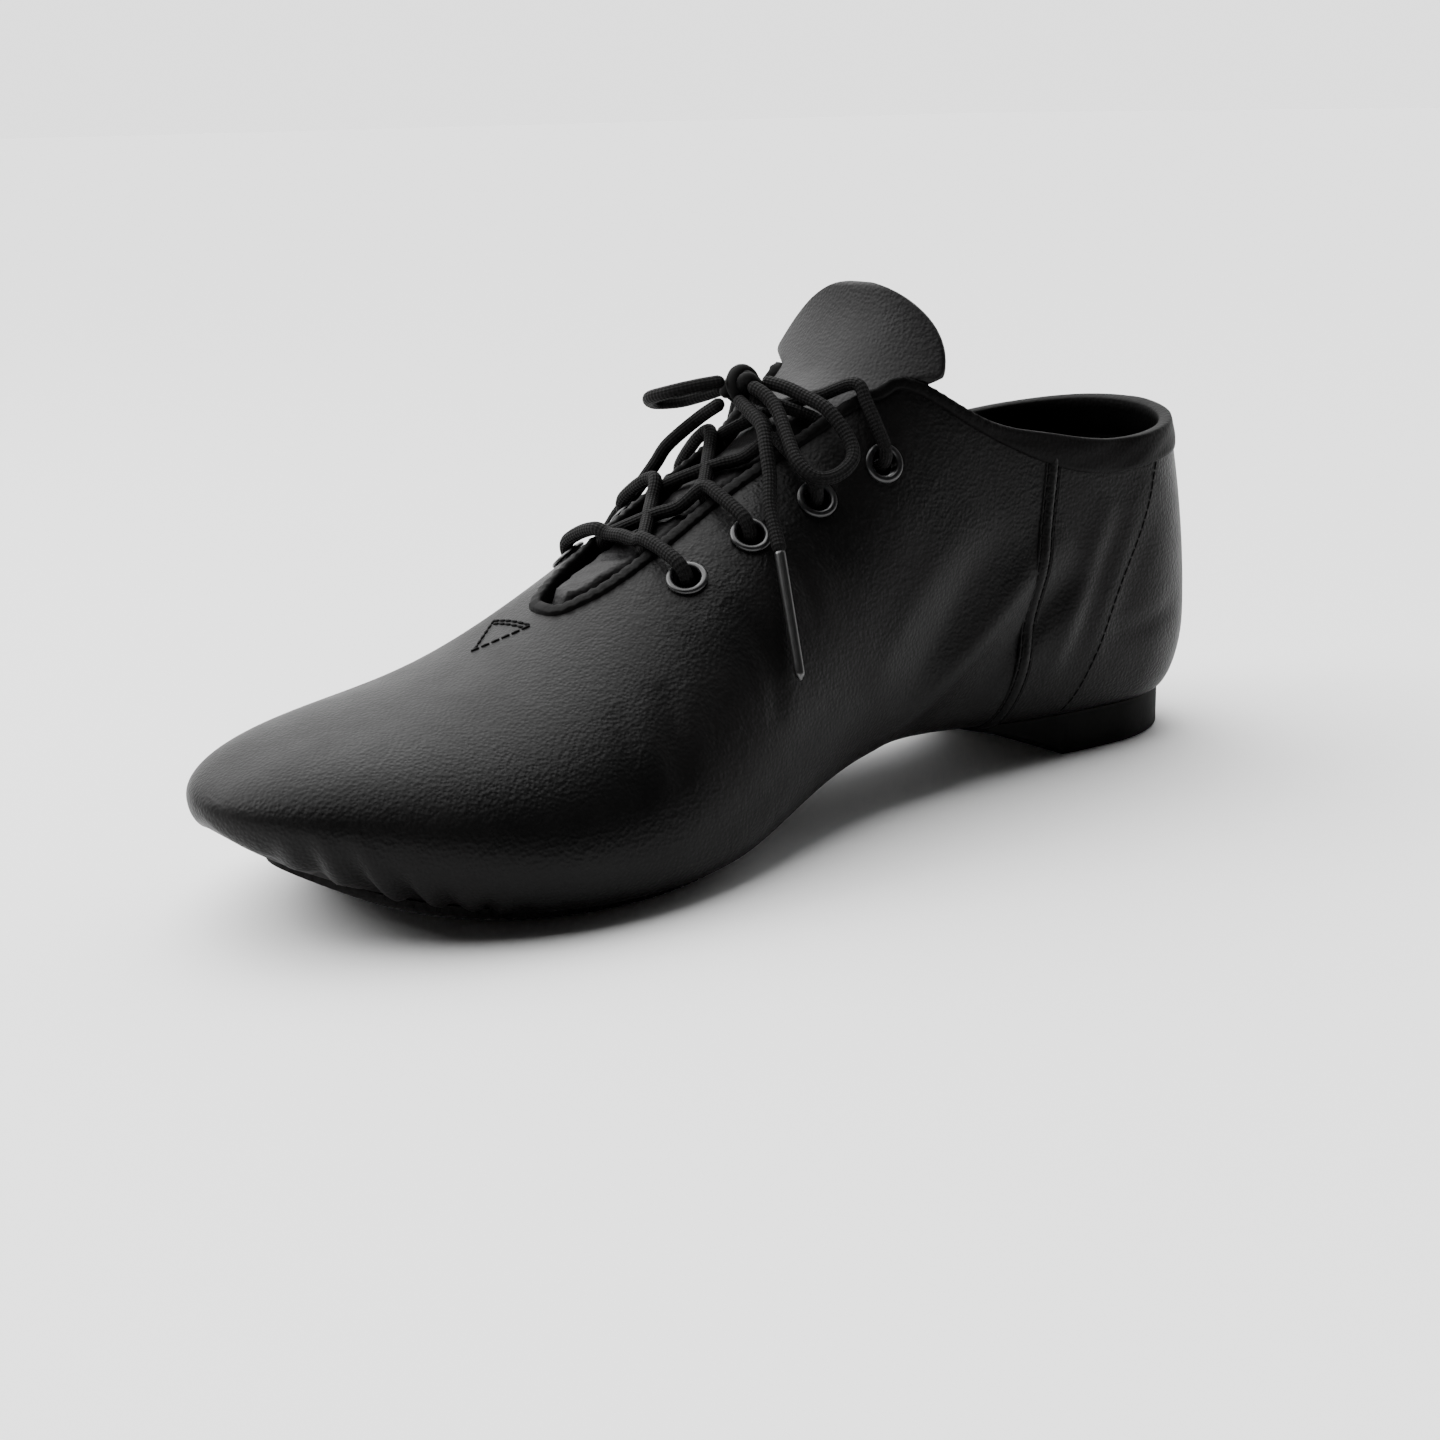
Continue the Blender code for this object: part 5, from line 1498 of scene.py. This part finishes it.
@dataclass
class Tongue:
    """The tongue: under the vamp and throat it follows the last, then stands and flares."""

    base: float = 0.735
    leave: float = 0.458
    drop: float = 0.0014
    sink_end: float = 0.700
    sink_run: float = 0.050
    thickness: float = 0.0018
    widths: Table = (
        (0.40, 0.325), (0.46, 0.300), (0.54, 0.240), (0.62, 0.200), (0.70, 0.160), (0.76, 0.130),
    )
    stand: Table = (
        (0.00, 0.458, 1.250), (0.20, 0.430, 1.325), (0.40, 0.406, 1.405), (0.60, 0.387, 1.500),
        (0.80, 0.374, 1.590), (1.00, 0.366, 1.675),
    )
    stand_end: float = 0.995
    stand_glide: float = 0.05
    stand_blend: float = 0.4
    stand_clearance: float = 0.0025
    stand_width: float = 0.050
    round_from: float = 0.22
    tip_power: float = 2.4
    curl: float = 0.0065
    twist: float = 0.0020
    sag: float = 0.0030
    flare: float = 0.0105
    flare_start: float = -0.0010
    flare_rise: float = 0.0060
    flare_power: float = 0.95
    flare_ease: float = 0.0016
    rows: int = 60
    columns: int = 71
    rim: float = 0.035
    binding: float = 0.0016

    # The padded middle: its height at the top and more below, where that starts, where it
    # ends at the foot and in rows, each with its run, and its waves: height in millimetres,
    # turns along and across, and phase.
    swell_mm: Pair = (2.05, 1.0)
    swell_more: Pair = (0.620, 0.03)
    swell_foot: Pair = (0.692, 0.014)
    swell_top: Pair = (1.12, 0.2)
    swell_sides: float = 2.4
    wrinkles: Table = ((0.16, 160, 9, 0.0), (0.13, 265, -14, 1.0), (0.09, 420, 23, 2.0))

    def face(self, row: Array, share: Array) -> Array:
        """Points of the outer face.

        Below the throat's top it lies under the last's surface. Above, it eases over to a
        bowed outline of its own, held inside the walls up to the collar and flared past it.

        Args:
            row: 0 at the base, 1 at the throat's top and 2 at the tip.
            share: Place across, from -1 at the outer edge to 1.

        Returns:
            Points in metres.
        """
        row, share = np.broadcast_arrays(np.asarray(row, float), np.asarray(share, float))
        side = np.where(share < 0, -1, 1)
        part = np.abs(share)
        rise = np.maximum(row - 1.0, 0.0)
        station = self.base + (self.leave - self.base) * np.minimum(row, 1.0) - self.stand_glide * rise
        arc = part * BALL_WIDTH * natural_cubic(self.widths)(station)
        sink = self.drop * smooth((self.sink_end - station) / self.sink_run)
        low = LAST.over(station, side * np.maximum(arc, 1e-9), -(UPPER_WALL + GAP + sink))
        taper = np.clip((rise - self.round_from) / (1 - self.round_from), 0, 1)
        out = part * self.stand_width / 2 * np.sqrt(1 - taper**self.tip_power)
        bow = (2 * out / self.stand_width) ** 2
        x = LENGTH * (0.5 - natural_cubic(self.stand, 1)(rise))
        x = x + bow * (self.curl - side * self.twist)
        z = INSTEP_HEIGHT * natural_cubic(self.stand, 2)(rise) - self.sag * bow
        target = np.stack([x, LAST.shift(station) + side * out, z], -1)
        points = low + (target - low) * smooth(rise / self.stand_blend)[..., None]
        beside = 0.5 - points[..., 0] / LENGTH
        clear = points[..., 2] - INSTEP_HEIGHT * natural_cubic(COLLAR)(beside) - self.flare_start
        above = np.clip(clear / self.flare_rise, 0, 1) ** self.flare_power
        limit = self.wall(beside, side, points[..., 2]) - self.stand_clearance + self.flare * above
        middle = LAST.shift(beside)
        free = np.abs(points[..., 1] - middle)
        ease = 0.01 * self.stand_clearance + self.flare_ease * above
        held = middle - side * ease * np.logaddexp(-free / ease, -limit / ease)
        points[..., 1] = np.where(rise > 0, held, points[..., 1])
        return points

    def wall(self, station: Array, side: Array, z: Array) -> Array:
        """Half width of the last at a height, read between the kept stations and heights.

        Args:
            station: Places along the shoe.
            side: Sign of y of the side.
            z: Heights above the floor.

        Returns:
            Half widths.
        """
        row = np.interp(station, LAST.stations, np.arange(len(LAST.stations)))
        column = np.interp(z, LAST.heights, np.arange(len(LAST.heights)))
        i = np.clip(row.astype(int), 0, LAST.widths.shape[1] - 2)
        j = np.clip(column.astype(int), 0, LAST.widths.shape[2] - 2)
        f, g, k = row - i, column - j, (side > 0).astype(int)
        low, high = (LAST.widths[k, i + n, j] * (1 - g) + LAST.widths[k, i + n, j + 1] * g
                     for n in (0, 1))
        return low * (1 - f) + high * f

    def swell(self, row: Array, share: Array) -> Array:
        """How far the padded middle stands up between the throat's edges, with its wrinkles.

        The height is a rounded bell across the free width inside the binding, and three
        sine waves of unlike length and slant wrinkle it.

        Args:
            row: As for face.
            share: As for face.

        Returns:
            Heights off the outer face.
        """
        station = self.base + (self.leave - self.base) * np.minimum(row, 1.0)
        arc = np.abs(share) * BALL_WIDTH * natural_cubic(self.widths)(station)
        side = np.where(share < 0, -1, 1)
        free = LAST.total(station, side) - LAST.edge(station, side) - self.binding
        inside = smooth(self.swell_sides * (1 - arc / np.maximum(free, 1e-4)))
        (foot, foot_run), (top, top_run) = self.swell_foot, self.swell_top
        ends = smooth((foot - station) / foot_run) * smooth((top - row) / top_run)
        waves = sum(high * np.sin(station * along + across * share + phase)
                    for high, along, across, phase in self.wrinkles)
        more = self.swell_mm[1] * smooth((station - self.swell_more[0]) / self.swell_more[1])
        return (self.swell_mm[0] + more + waves) / 1000 * inside * ends

    def over(self, row: Array, share: Array, height: float) -> Array:
        """Points off the outer face, for what lies on the tongue."""
        row, share = np.asarray(row, float), np.asarray(share, float)
        along = self.face(row + 0.01, share) - self.face(row - 0.01, share)
        across = self.face(row, share + 0.02) - self.face(row, share - 0.02)
        return self.face(row, share) + unit(np.cross(along, across)) * height

    def build(self, leather: Material) -> None:
        """Hang a wall inwards from the outer face, thinner and rounded at its edge.

        Args:
            leather: Its finish.
        """
        tip = np.sin(np.linspace(0, np.pi / 2, self.rows)[1:])
        row = np.concatenate([np.linspace(0, 1, self.rows), 1 + self.stand_end * tip])
        share = np.sin(np.linspace(-np.pi / 2, np.pi / 2, self.columns))
        outer = self.face(row[:, None], share[None, :])
        normal = unit(np.cross(np.gradient(outer, axis=1), np.gradient(outer, axis=0)))
        normal = normal * np.sign(normal[:, self.columns // 2, 2])[:, None, None]
        outer = outer + normal * self.swell(row[:, None], share[None, :])[..., None]
        edge = np.minimum(1 - np.abs(share)[None, :], (row[-1] - row)[:, None] * 0.7)
        rim = np.clip(edge / self.rim, 0, 1)
        full = np.sqrt(np.clip(1 - (1 - rim) ** 2, 0.02, 1))
        middle = outer - normal * self.thickness / 2
        half = normal * (self.thickness / 2 * full)[..., None]
        add_piece("tongue_leather_piece", *slab(middle + half, middle - half), leather,
                  "tongue_leather", ["tongue"], sharp=80)


@dataclass
class Eyelets:
    """Four pairs of pressed eyelets: a rolled flange on a short tube through the wall."""

    hole: float = 0.0050
    flange: float = 0.0078
    segments: int = 40
    proud: float = 0.00045
    bead: float = 0.00052
    seat: float = 0.0002
    depth: float = 0.0019

    def profile(self) -> Array:
        """Lay the cross-section: up the outside of the tube, over the rolled flange and down.

        Returns:
            Distances from the axis and heights off the leather.
        """
        bore, rim = self.hole / 2, self.flange / 2
        angle = np.linspace(0, 2 * np.pi, 13)
        roll = np.stack([(bore + rim) / 2 + (rim - bore) / 2 * np.cos(angle),
                         self.proud + self.bead * np.sin(angle)], -1)[:-1]
        over = roll[roll[:, 1] > 0.0003]
        over = over[np.argsort(-over[:, 0])]
        skirt = [[bore + 0.0004, -self.depth], [bore + 0.0004, self.seat],
                 [rim - 0.0002, self.seat], [rim, 0.0004]]
        throat = [[bore + 0.0001, self.seat], [bore, -0.0004], [bore, -self.depth]]
        return np.concatenate([skirt, over, throat])

    def build(self, enamel: Material) -> None:
        """Turn the cross-section about each eyelet's axis.

        Args:
            enamel: Their finish.
        """
        profile = self.profile()
        turn = np.linspace(0, 2 * np.pi, self.segments + 1)[:-1]
        for side, place in ((Side.OUTER, "outer"), (Side.INNER, "inner")):
            for pair in range(len(EYELETS)):
                middle, facing = LAST.eyelet(pair, side.value)
                across = unit(np.cross(facing, [1.0, 0.0, 0.0]))
                beside = np.cross(facing, across)
                spoke = np.cos(turn)[:, None] * across + np.sin(turn)[:, None] * beside
                points = middle + profile[None, :, :1] * spoke[:, None] + profile[None, :, 1:] * facing
                count = points.shape[0] * points.shape[1]
                faces = grid_faces(self.segments + 1, len(profile), closed=True) % count
                add_piece(f"eyelet_ring_{place}_{pair + 1}", points.reshape(-1, 3), faces, enamel,
                          "eyelet_metal", [f"eyelet_{place}_{pair + 1}"], sharp=70)


@dataclass
class Lace:
    """One round braided lace: bar, crossings and tails, then a bow with two loops and ends."""

    diameter: float = 0.0027
    spacing: float = 0.0005
    over_tongue: float = 0.0004
    bar_over_tongue: float = 0.0010
    under_edge: float = 0.0004
    under_reach: float = 0.0024
    entry: Sequence[tuple[str, float, float]] = (
        ("edge", -0.0015, 0.0024), ("edge", 0.0030, 0.0026), ("middle", -0.0034, 0.0026),
        ("middle", -0.0012, 0.0019), ("middle", -0.0001, 0.0002), ("middle", 0.0000, -0.0022),
    )
    knot: Spot = (0.0032, 0.0035, 0.0824)
    outer_loop: Table = (
        (0.0015, -0.0018, 0.0824), (0.0018, -0.0049, 0.0812), (0.0014, -0.0087, 0.0788),
        (-0.0005, -0.0138, 0.0746), (-0.0020, -0.0187, 0.0704), (-0.0006, -0.0222, 0.0678),
        (0.0034, -0.0232, 0.0679), (0.0076, -0.0229, 0.0702), (0.0090, -0.0207, 0.0734),
        (0.0082, -0.0155, 0.0787), (0.0070, -0.0099, 0.0810), (0.0059, -0.0055, 0.0824),
        (0.0050, -0.0018, 0.0830),
    )
    inner_loop: Table = (
        (-0.0019, 0.0047, 0.0832), (-0.0052, 0.0071, 0.0826), (-0.0086, 0.0111, 0.0814),
        (-0.0092, 0.0169, 0.0798), (-0.0054, 0.0205, 0.0782), (-0.0010, 0.0185, 0.0782),
        (0.0014, 0.0139, 0.0796), (0.0024, 0.0091, 0.0812),
    )
    outer_end: Table = (
        (-0.0006, -0.0001, 0.0798), (-0.0016, -0.0045, 0.0783), (-0.0026, -0.0092, 0.0759),
        (-0.0048, -0.0132, 0.0714), (-0.0062, -0.0156, 0.0678), (-0.0086, -0.0185, 0.0632),
        (-0.0101, -0.0216, 0.0594), (-0.0112, -0.0241, 0.0564),
    )
    inner_end: Table = (
        (0.0008, 0.0083, 0.0783), (-0.0005, 0.0134, 0.0751), (-0.0048, 0.0174, 0.0702),
        (-0.0065, 0.0196, 0.0663), (-0.0096, 0.0220, 0.0610), (-0.0117, 0.0249, 0.0567),
        (-0.0132, 0.0273, 0.0525),
    )
    outer_tip: Spot = (-0.0160, -0.0354, 0.0350)
    inner_tip: Spot = (-0.0196, 0.0371, 0.0306)
    tip_radius: float = 0.00105
    tip_sides: int = 24

    def into_eyelet(self, pair: int, side: int) -> list[Array]:
        """The last stretch: over the throat's edge and down into an eyelet."""
        places = dict(zip(("edge", "middle"), LAST.eyelet_arc(pair, side)))
        return [LAST.over(EYELETS[pair][0], side * (places[anchor] + out), height)
                for anchor, out, height in self.entry]

    def crossings(self, tongue: Tongue) -> list[Array]:
        """Route the bar, the six crossings and the two tails that rise to the knot.

        Args:
            tongue: The tongue that the tails lie on.

        Returns:
            The routes, each a list of points.
        """
        foot = EYELETS[0][0]
        gap = LAST.eyelet_arc(0, 1)[0]
        bar = self.into_eyelet(0, -1)[::-1]
        bar += [LAST.over(foot, share * gap, self.bar_over_tongue) for share in (-0.5, 0.0, 0.5)]
        routes = [bar + self.into_eyelet(0, 1)]
        for pair in range(len(EYELETS) - 1):
            for side in (-1, 1):
                start, end = EYELETS[pair][0], EYELETS[pair + 1][0]
                edge = LAST.eyelet_arc(pair, side)[0]
                low, high = edge - self.under_reach, LAST.eyelet_arc(pair + 1, -side)[0]
                route = [LAST.over(start - 0.002, side * (edge + 0.0015), -0.0026),
                         LAST.over(start, side * (edge - 0.0006), -0.0016),
                         LAST.over(start, side * low, self.under_edge)]
                for share in (0.3, 0.5, 0.7):
                    arc = side * low + (-side * high - side * low) * share
                    route.append(LAST.over(start + (end - start) * share, arc, self.over_tongue))
                routes.append(route + self.into_eyelet(pair + 1, -side))
        middle = np.array(self.knot)
        for side in (-1, 1):
            edge = LAST.eyelet_arc(3, side)[0]
            start = LAST.over(EYELETS[3][0] - 0.004, side * (edge + 0.0012), -0.0026)
            lift = [tongue.over(row, side * share, self.diameter / 2 + 0.0003)
                    for row, share in ((1.02, 0.62), (1.03, 0.42))]
            routes.append([start, *lift, middle + [0.0, side * 0.0035, -0.0022]])
        return routes

    def build(self, tongue: Tongue, braid: Material, film: Material) -> None:
        """Make the fixed runs, the knot, and the four free cords with their tips.

        Args:
            tongue: The tongue that the tails lie on.
            braid: Finish of the cords.
            film: Finish of the tips.
        """
        radius = self.diameter / 2
        runs = [tube(smooth_path(route, self.spacing), radius * (1 - 0.01 * k))
                for k, route in enumerate(self.crossings(tongue))]
        points, faces, uv = joined(runs)
        add_piece("lace_through_eyelets", points, faces, braid, "lace_braid",
                  ["lace_crossings"], uv, 80)
        add_piece("lace_bow_knot", *self.knot_mesh(), braid, "lace_braid", ["lace_knot"], sharp=80)
        for side, route in (("outer", self.outer_loop), ("inner", self.inner_loop)):
            path = smooth_path(route, self.spacing)
            points, faces, uv = tube(path, radius)
            cord = add_piece(f"bow_loop_{side}", points, faces, braid, "lace_braid",
                             [f"lace_loop_{side}"], uv, 80)
        for side, route, end in (("outer", self.outer_end, self.outer_tip),
                                 ("inner", self.inner_end, self.inner_tip)):
            path = smooth_path(route, self.spacing)
            sheath = self.tip(f"lace_tip_{side}", path[-1], np.array(end), film, f"aglet_{side}")
            points, faces, uv = tube(path, radius)
            cord = add_piece(f"bow_end_{side}", points, faces, braid, "lace_braid",
                             [f"lace_end_{side}"], uv, 80)

    def knot_mesh(self) -> Arrays:
        """Shape the knot: a wrap of lace round the middle over a flat crossing of two strands.

        Each is a closed curve of sines, in millimetres off the knot's middle.

        Returns:
            Points and quads.
        """
        turn = np.linspace(0, 2 * np.pi, 60)[:-1]
        middle = np.array(self.knot)
        wrap = [2.9e-3 * np.cos(turn), 0.9e-3 * np.sin(turn + 0.6), 2.5e-3 * np.sin(turn)]
        flat = [1.9e-3 * np.sin(2 * turn), 3.7e-3 * np.cos(turn), 1.5e-3 * np.sin(3 * turn)]
        return joined([tube(middle + np.stack(curve, -1), self.diameter / 2, closed=True)[:2]
                       for curve in (wrap, flat)])

    def tip(self, name: str, cord_end: Array, end: Array, film: Material,
            node: str) -> bpy.types.Object:
        """Make a lace tip: a thin rod with a rounded nose, starting where the cord ends.

        Args:
            name: The piece's name.
            cord_end: Where the cord ends.
            end: Where the tip ends.
            film: Its finish.
            node: CAD node that it stands for.

        Returns:
            The new object.
        """
        way = unit(end - cord_end)
        start = cord_end + 2 * GAP * way
        share = np.concatenate([[0.0, 0.01], np.linspace(0.03, 0.92, 20), [0.96, 0.985, 1.0]])
        size = np.concatenate([[0.80, 1.0], np.linspace(1.0, 0.92, 20), [0.88, 0.70, 0.40]])
        path = start + (end - start) * share[:, None]
        points, faces, _ = tube(path, self.tip_radius * size, self.tip_sides)
        return add_piece(name, points, faces, film, "lace_tip", [node], sharp=80)


@dataclass
class Soles:
    """Forefoot sole with a pinked edge, heel block with a hollow breast, and the insole."""

    sole_start: float = 0.575
    sole_end: float = 0.945
    sole_inset: float = 0.0018
    sole_round: float = 0.055
    pink_mm: float = 2.2
    pink_depth: float = 0.0006
    heel_back: float = 0.0006
    heel_breast: float = 0.196
    heel_tip: float = 0.315
    heel_tip_round: float = 0.040
    heel_tip_thickness: float = 0.0010
    heel_hollow: float = 0.9
    insole_thickness: float = 0.0022
    insole_seat: float = 0.0009
    heel_inset: float = 0.0085
    toe_inset: float = 0.0150
    side_inset: float = 0.0010
    blunt: float = 0.02
    skive: float = 0.0009
    front_skive: float = 0.0004
    front_thinning: float = 0.0008
    front_from: float = 0.86
    front_run: float = 0.085

    def across(self, count: int) -> Arrays:
        """Shares across a piece, drawn together at both edges, and the sign of y of each."""
        share = np.sin(np.linspace(-np.pi / 2, np.pi / 2, count))[None, :]
        return share, np.where(share < 0, -1, 1)

    def plate(self, x: Array, y: Array, top: Array, under: Array) -> Arrays:
        """Points and quads of a solid between two heights over the same plan."""
        return slab(*(np.stack(np.broadcast_arrays(x, y, z), -1) for z in (top, under)))

    def forefoot(self, suede: Material) -> None:
        """Make the patch under the ball: its edge is cut in small teeth.

        The plan is the upper's underside, rounded off as an ellipse at both ends, less a
        triangle wave along the edge.

        Args:
            suede: Its finish.
        """
        row = (self.sole_start + (self.sole_end - self.sole_start)
               * (1 - np.cos(np.linspace(0, np.pi, 260))) / 2)[:, None]
        share, side = self.across(61)
        near = np.clip(1 - (row - self.sole_start) / self.sole_round, 0, 1)
        far = np.clip(1 - (self.sole_end - row) / self.sole_round, 0, 1)
        ends = np.sqrt(np.clip(1 - near**2, 0, 1)) * np.sqrt(np.clip(1 - far**2, 0, 1))
        ends = np.maximum(ends, self.blunt)
        reach = (LAST.feather(row, side) - self.sole_inset) * ends
        x = np.broadcast_to(LENGTH * (0.5 - row), reach.shape)
        edge = np.stack([x[:, 0], reach[:, 0], 0 * x[:, 0]], -1)
        run = run_lengths(edge)[:, None] * 1000
        tooth = np.abs((run / self.pink_mm) % 1.0 - 0.5) * 2
        reach = reach - self.pink_depth * tooth * np.minimum(ends * 4, 1)
        y = LAST.shift(row) + share * reach
        low = LAST.bottom(row) - GAP
        front = smooth((row - self.front_from) / self.front_run)
        edge = np.clip((np.abs(share) - 0.93) / 0.07, 0, 1) ** 1.5
        skive = (self.skive + self.front_skive * front) * edge + self.front_thinning * front
        under = np.maximum(low - SOLE_THICKNESS, 0.0) + skive
        add_piece("forefoot_suede", *self.plate(x, y, low, under), suede, "sole_suede",
                  ["forefoot_sole"], sharp=45)

    def heel(self, rubber: Material) -> None:
        """Make the heel block: level underneath, its breast hollowed out to a thin tip.

        The breast's height rises as a power of a quarter sine.

        Args:
            rubber: Its finish.
        """
        turn = 1 - np.cos(np.linspace(0, np.pi / 2, 70))
        back = self.heel_back + (HEEL_ROUND - self.heel_back) * turn
        breast = np.linspace(self.heel_breast, self.heel_tip, 60)
        middle = np.linspace(HEEL_ROUND, self.heel_breast, 26)[1:-1]
        row = np.concatenate([back, middle, breast])[:, None]
        share, side = self.across(61)
        front = np.clip(1 - (self.heel_tip - row) / self.heel_tip_round, 0, 1)
        reach = LAST.feather(row, side) * np.maximum(np.sqrt(1 - front**2), self.blunt)
        high = LAST.bottom(row) - GAP
        x = LENGTH * (0.5 - row) - LAST.back_shift(row, LAST.bottom(row))
        run = np.clip((row - self.heel_breast) / (self.heel_tip - self.heel_breast), 0, 1)
        low = (high - self.heel_tip_thickness) * np.sin(np.pi / 2 * run) ** self.heel_hollow
        soften = 0.0005 * np.clip((np.abs(share) - 0.96) / 0.04, 0, 1) ** 2
        y = LAST.shift(row) + share * reach
        add_piece("heel_rubber_block", *self.plate(x, y, high, low + soften), rubber,
                  "heel_rubber", ["heel"], sharp=40)

    def insole(self, cloth: Material) -> None:
        """Make the cloth-covered footbed, with a rounded upper edge.

        Args:
            cloth: Its finish.
        """
        row = (1 - (1 + np.cos(np.linspace(0, np.pi, 160))) / 2)[:, None]
        share, side = self.across(51)
        inset = np.where(row < 0.5, self.heel_inset, self.toe_inset)
        x = LENGTH * (0.5 - row) * (1 - 2 * inset / LENGTH)
        seat = LAST.bottom(0.5 - x / LENGTH) + UPPER_WALL + self.insole_seat
        reach = np.maximum(LAST.feather(row, side) - self.side_inset, self.side_inset / 2)
        y = LAST.shift(row) + share * reach
        soften = 0.0008 * np.clip((np.abs(share) - 0.9) / 0.1, 0, 1) ** 2
        top = seat + self.insole_thickness - soften
        add_piece("insole_cloth", *self.plate(x, y, top, seat), cloth, "insole_lining",
                  ["insole"], sharp=60)


@dataclass
class Studio:
    """Plain pale floor, soft light from above and the camera at the photograph's angle."""

    position: Spot = (-0.2607, -0.3254, 0.1351)
    aim: Spot = (-0.0321, -0.0324, 0.0297)
    roll_degrees: float = -1.14
    lens: float = 54.7
    sensor: float = 36.0
    floor_half: float = 12.0

    def stand(self, name: str, data: bpy.types.ID, place: Sequence[float],
              axes: Sequence[Array]) -> bpy.types.Object:
        """Put a camera or a lamp into the scene.

        Args:
            name: Its name.
            data: What it holds.
            place: Where it stands.
            axes: Its own right, up and back.

        Returns:
            The new object.
        """
        matrix = Matrix(np.stack(axes, axis=1).tolist()).to_4x4()
        matrix.translation = place
        thing = bpy.data.objects.new(name, data)
        bpy.context.scene.collection.objects.link(thing)
        thing.matrix_world = matrix
        return thing

    def camera(self) -> None:
        """Place the camera by its own three axes: right, up and back, then roll it."""
        back = unit(np.array(self.position) - np.array(self.aim))
        right = unit(np.cross([0.0, 0.0, 1.0], back))
        up = np.cross(back, right)
        roll = math.radians(self.roll_degrees)
        turned = (math.cos(roll) * right + math.sin(roll) * up,
                  math.cos(roll) * up - math.sin(roll) * right, back)
        data = bpy.data.cameras.new("photo_camera")
        data.lens = self.lens
        data.sensor_width = self.sensor
        bpy.context.scene.camera = self.stand("photo_camera", data, self.position, turned)

    def light(self, name: str, place: Sequence[float], aim: Sequence[float], size: float,
              watts: float) -> None:
        """Add one square softbox that faces a point.

        Args:
            name: Its name.
            place: Where it stands.
            aim: The point.
            size: Its side in metres.
            watts: Its power.
        """
        data = bpy.data.lights.new(name, "AREA")
        data.energy = watts
        data.size = size
        back = unit(np.array(place, float) - np.array(aim, float))
        right = unit(np.cross([0.0, 1.0, 0.001], back))
        self.stand(name, data, place, (right, np.cross(back, right), back))

    def sky(self, name: str, way: Sequence[float], spread: float, strength: float) -> None:
        """Add one even overhead light that covers a wide angle, as a stretched scrim does.

        Args:
            name: Its name.
            way: Direction that it comes from.
            spread: Its angle in degrees.
            strength: Its strength.
        """
        data = bpy.data.lights.new(name, "SUN")
        data.energy = strength
        data.angle = math.radians(spread)
        lamp = bpy.data.objects.new(name, data)
        bpy.context.scene.collection.objects.link(lamp)
        lamp.rotation_euler = Vector(way).to_track_quat("Z", "Y").to_euler()

    def build(self) -> None:
        """Make the floor, a world that is bright behind the shoe, and the soft lights."""
        self.camera()
        half = self.floor_half
        mesh = bpy.data.meshes.new("floor")
        corners = [(-half, -half, 0), (half, -half, 0), (half, half, 0), (-half, half, 0)]
        mesh.from_pydata(corners, [], [(0, 1, 2, 3)])
        material, _, _ = new_material("pale_paper", {
            "Base Color": to_linear("#fafafa"), "Roughness": 0.9, "Specular IOR Level": 0.1})
        mesh.materials.append(material)
        floor = bpy.data.objects.new("floor", mesh)
        bpy.context.scene.collection.objects.link(floor)
        world = bpy.data.worlds.new("studio")
        world.use_nodes = True
        tree = world.node_tree
        place = add_node(tree, "ShaderNodeTexCoord").outputs["Generated"]
        facing = add_node(tree, "ShaderNodeVectorMath", {
            "operation": "DOT_PRODUCT", 1: (0.60, 0.78, 0.15)}, {0: place})
        share = add_node(tree, "ShaderNodeMapRange", {
            "interpolation_type": "SMOOTHSTEP", "From Min": 0.1, "From Max": 0.75,
            "To Min": 0.03, "To Max": 2.2},
            {"Value": facing.outputs["Value"]})
        tree.links.new(share.outputs[0], tree.nodes["Background"].inputs["Strength"])
        tree.nodes["Background"].inputs["Color"].default_value = to_linear("#ffffff")
        bpy.context.scene.world = world
        self.sky("overhead_scrim", (-0.15, 0.45, 1.0), 80.0, 6.0)
        self.light("toe_softbox", (-0.60, 0.42, 0.55), (-0.07, 0.0, 0.03), 0.40, 4.0)


def main() -> None:
    """Build the studio and then every piece of the shoe, from the soles up."""
    logging.basicConfig(level=logging.INFO, format="%(name)s %(message)s")
    Studio().build()
    leather = GrainLeather().make()
    tongue_leather = GrainLeather("black_tongue_leather", "#0b0a0b", "#111010", roughness=0.50,
                                  depth_mm=0.12, specular=0.14).make()
    cuff_leather = GrainLeather("black_cuff_leather", "#020202", "#050404", grain_mm=0.8,
                                roughness=0.55, depth_mm=0.10, specular=0.06).make()
    thread = BraidedCord("black_waxed_thread", "#010101", "#030303", strands=3).make()
    braid = BraidedCord().make()
    tongue = Tongue()
    soles = Soles()
    soles.forefoot(Suede().make())
    soles.heel(MouldedRubber().make())
    soles.insole(WovenCloth().make())
    Upper().build(leather)
    topline = Topline()
    Cuff().build(topline, cuff_leather)
    lines = SideSeam().build(leather)
    # Side seam stitches: wide black bars, nearly end to end, along both grooves of the strip; real thread,
    # and also painted shade of the deep grooves.
    stitching = Stitching(length_mm=2.2, pitch_mm=2.5, width_mm=0.80)
    stitching.build("side_seam_stitches_and_groove_shade", lines, thread)
    stitching = Stitching(length_mm=1.9, pitch_mm=2.1, width_mm=0.48)
    stitching.build("back_seam_stitches", [on_upper(side, BACK_SEAM, 0.05) for side in Side], thread)
    stitching = Stitching(length_mm=1.7, pitch_mm=2.0, width_mm=0.62)
    stitching.build("vamp_tack_stitches", [vamp_line(*ends, 0.12) for ends in TACK], thread)
    tongue.build(tongue_leather)
    Eyelets().build(EnamelledMetal().make())
    Lace().build(tongue, braid, ShrunkFilm().make())


if __name__ == "__main__":
    main()
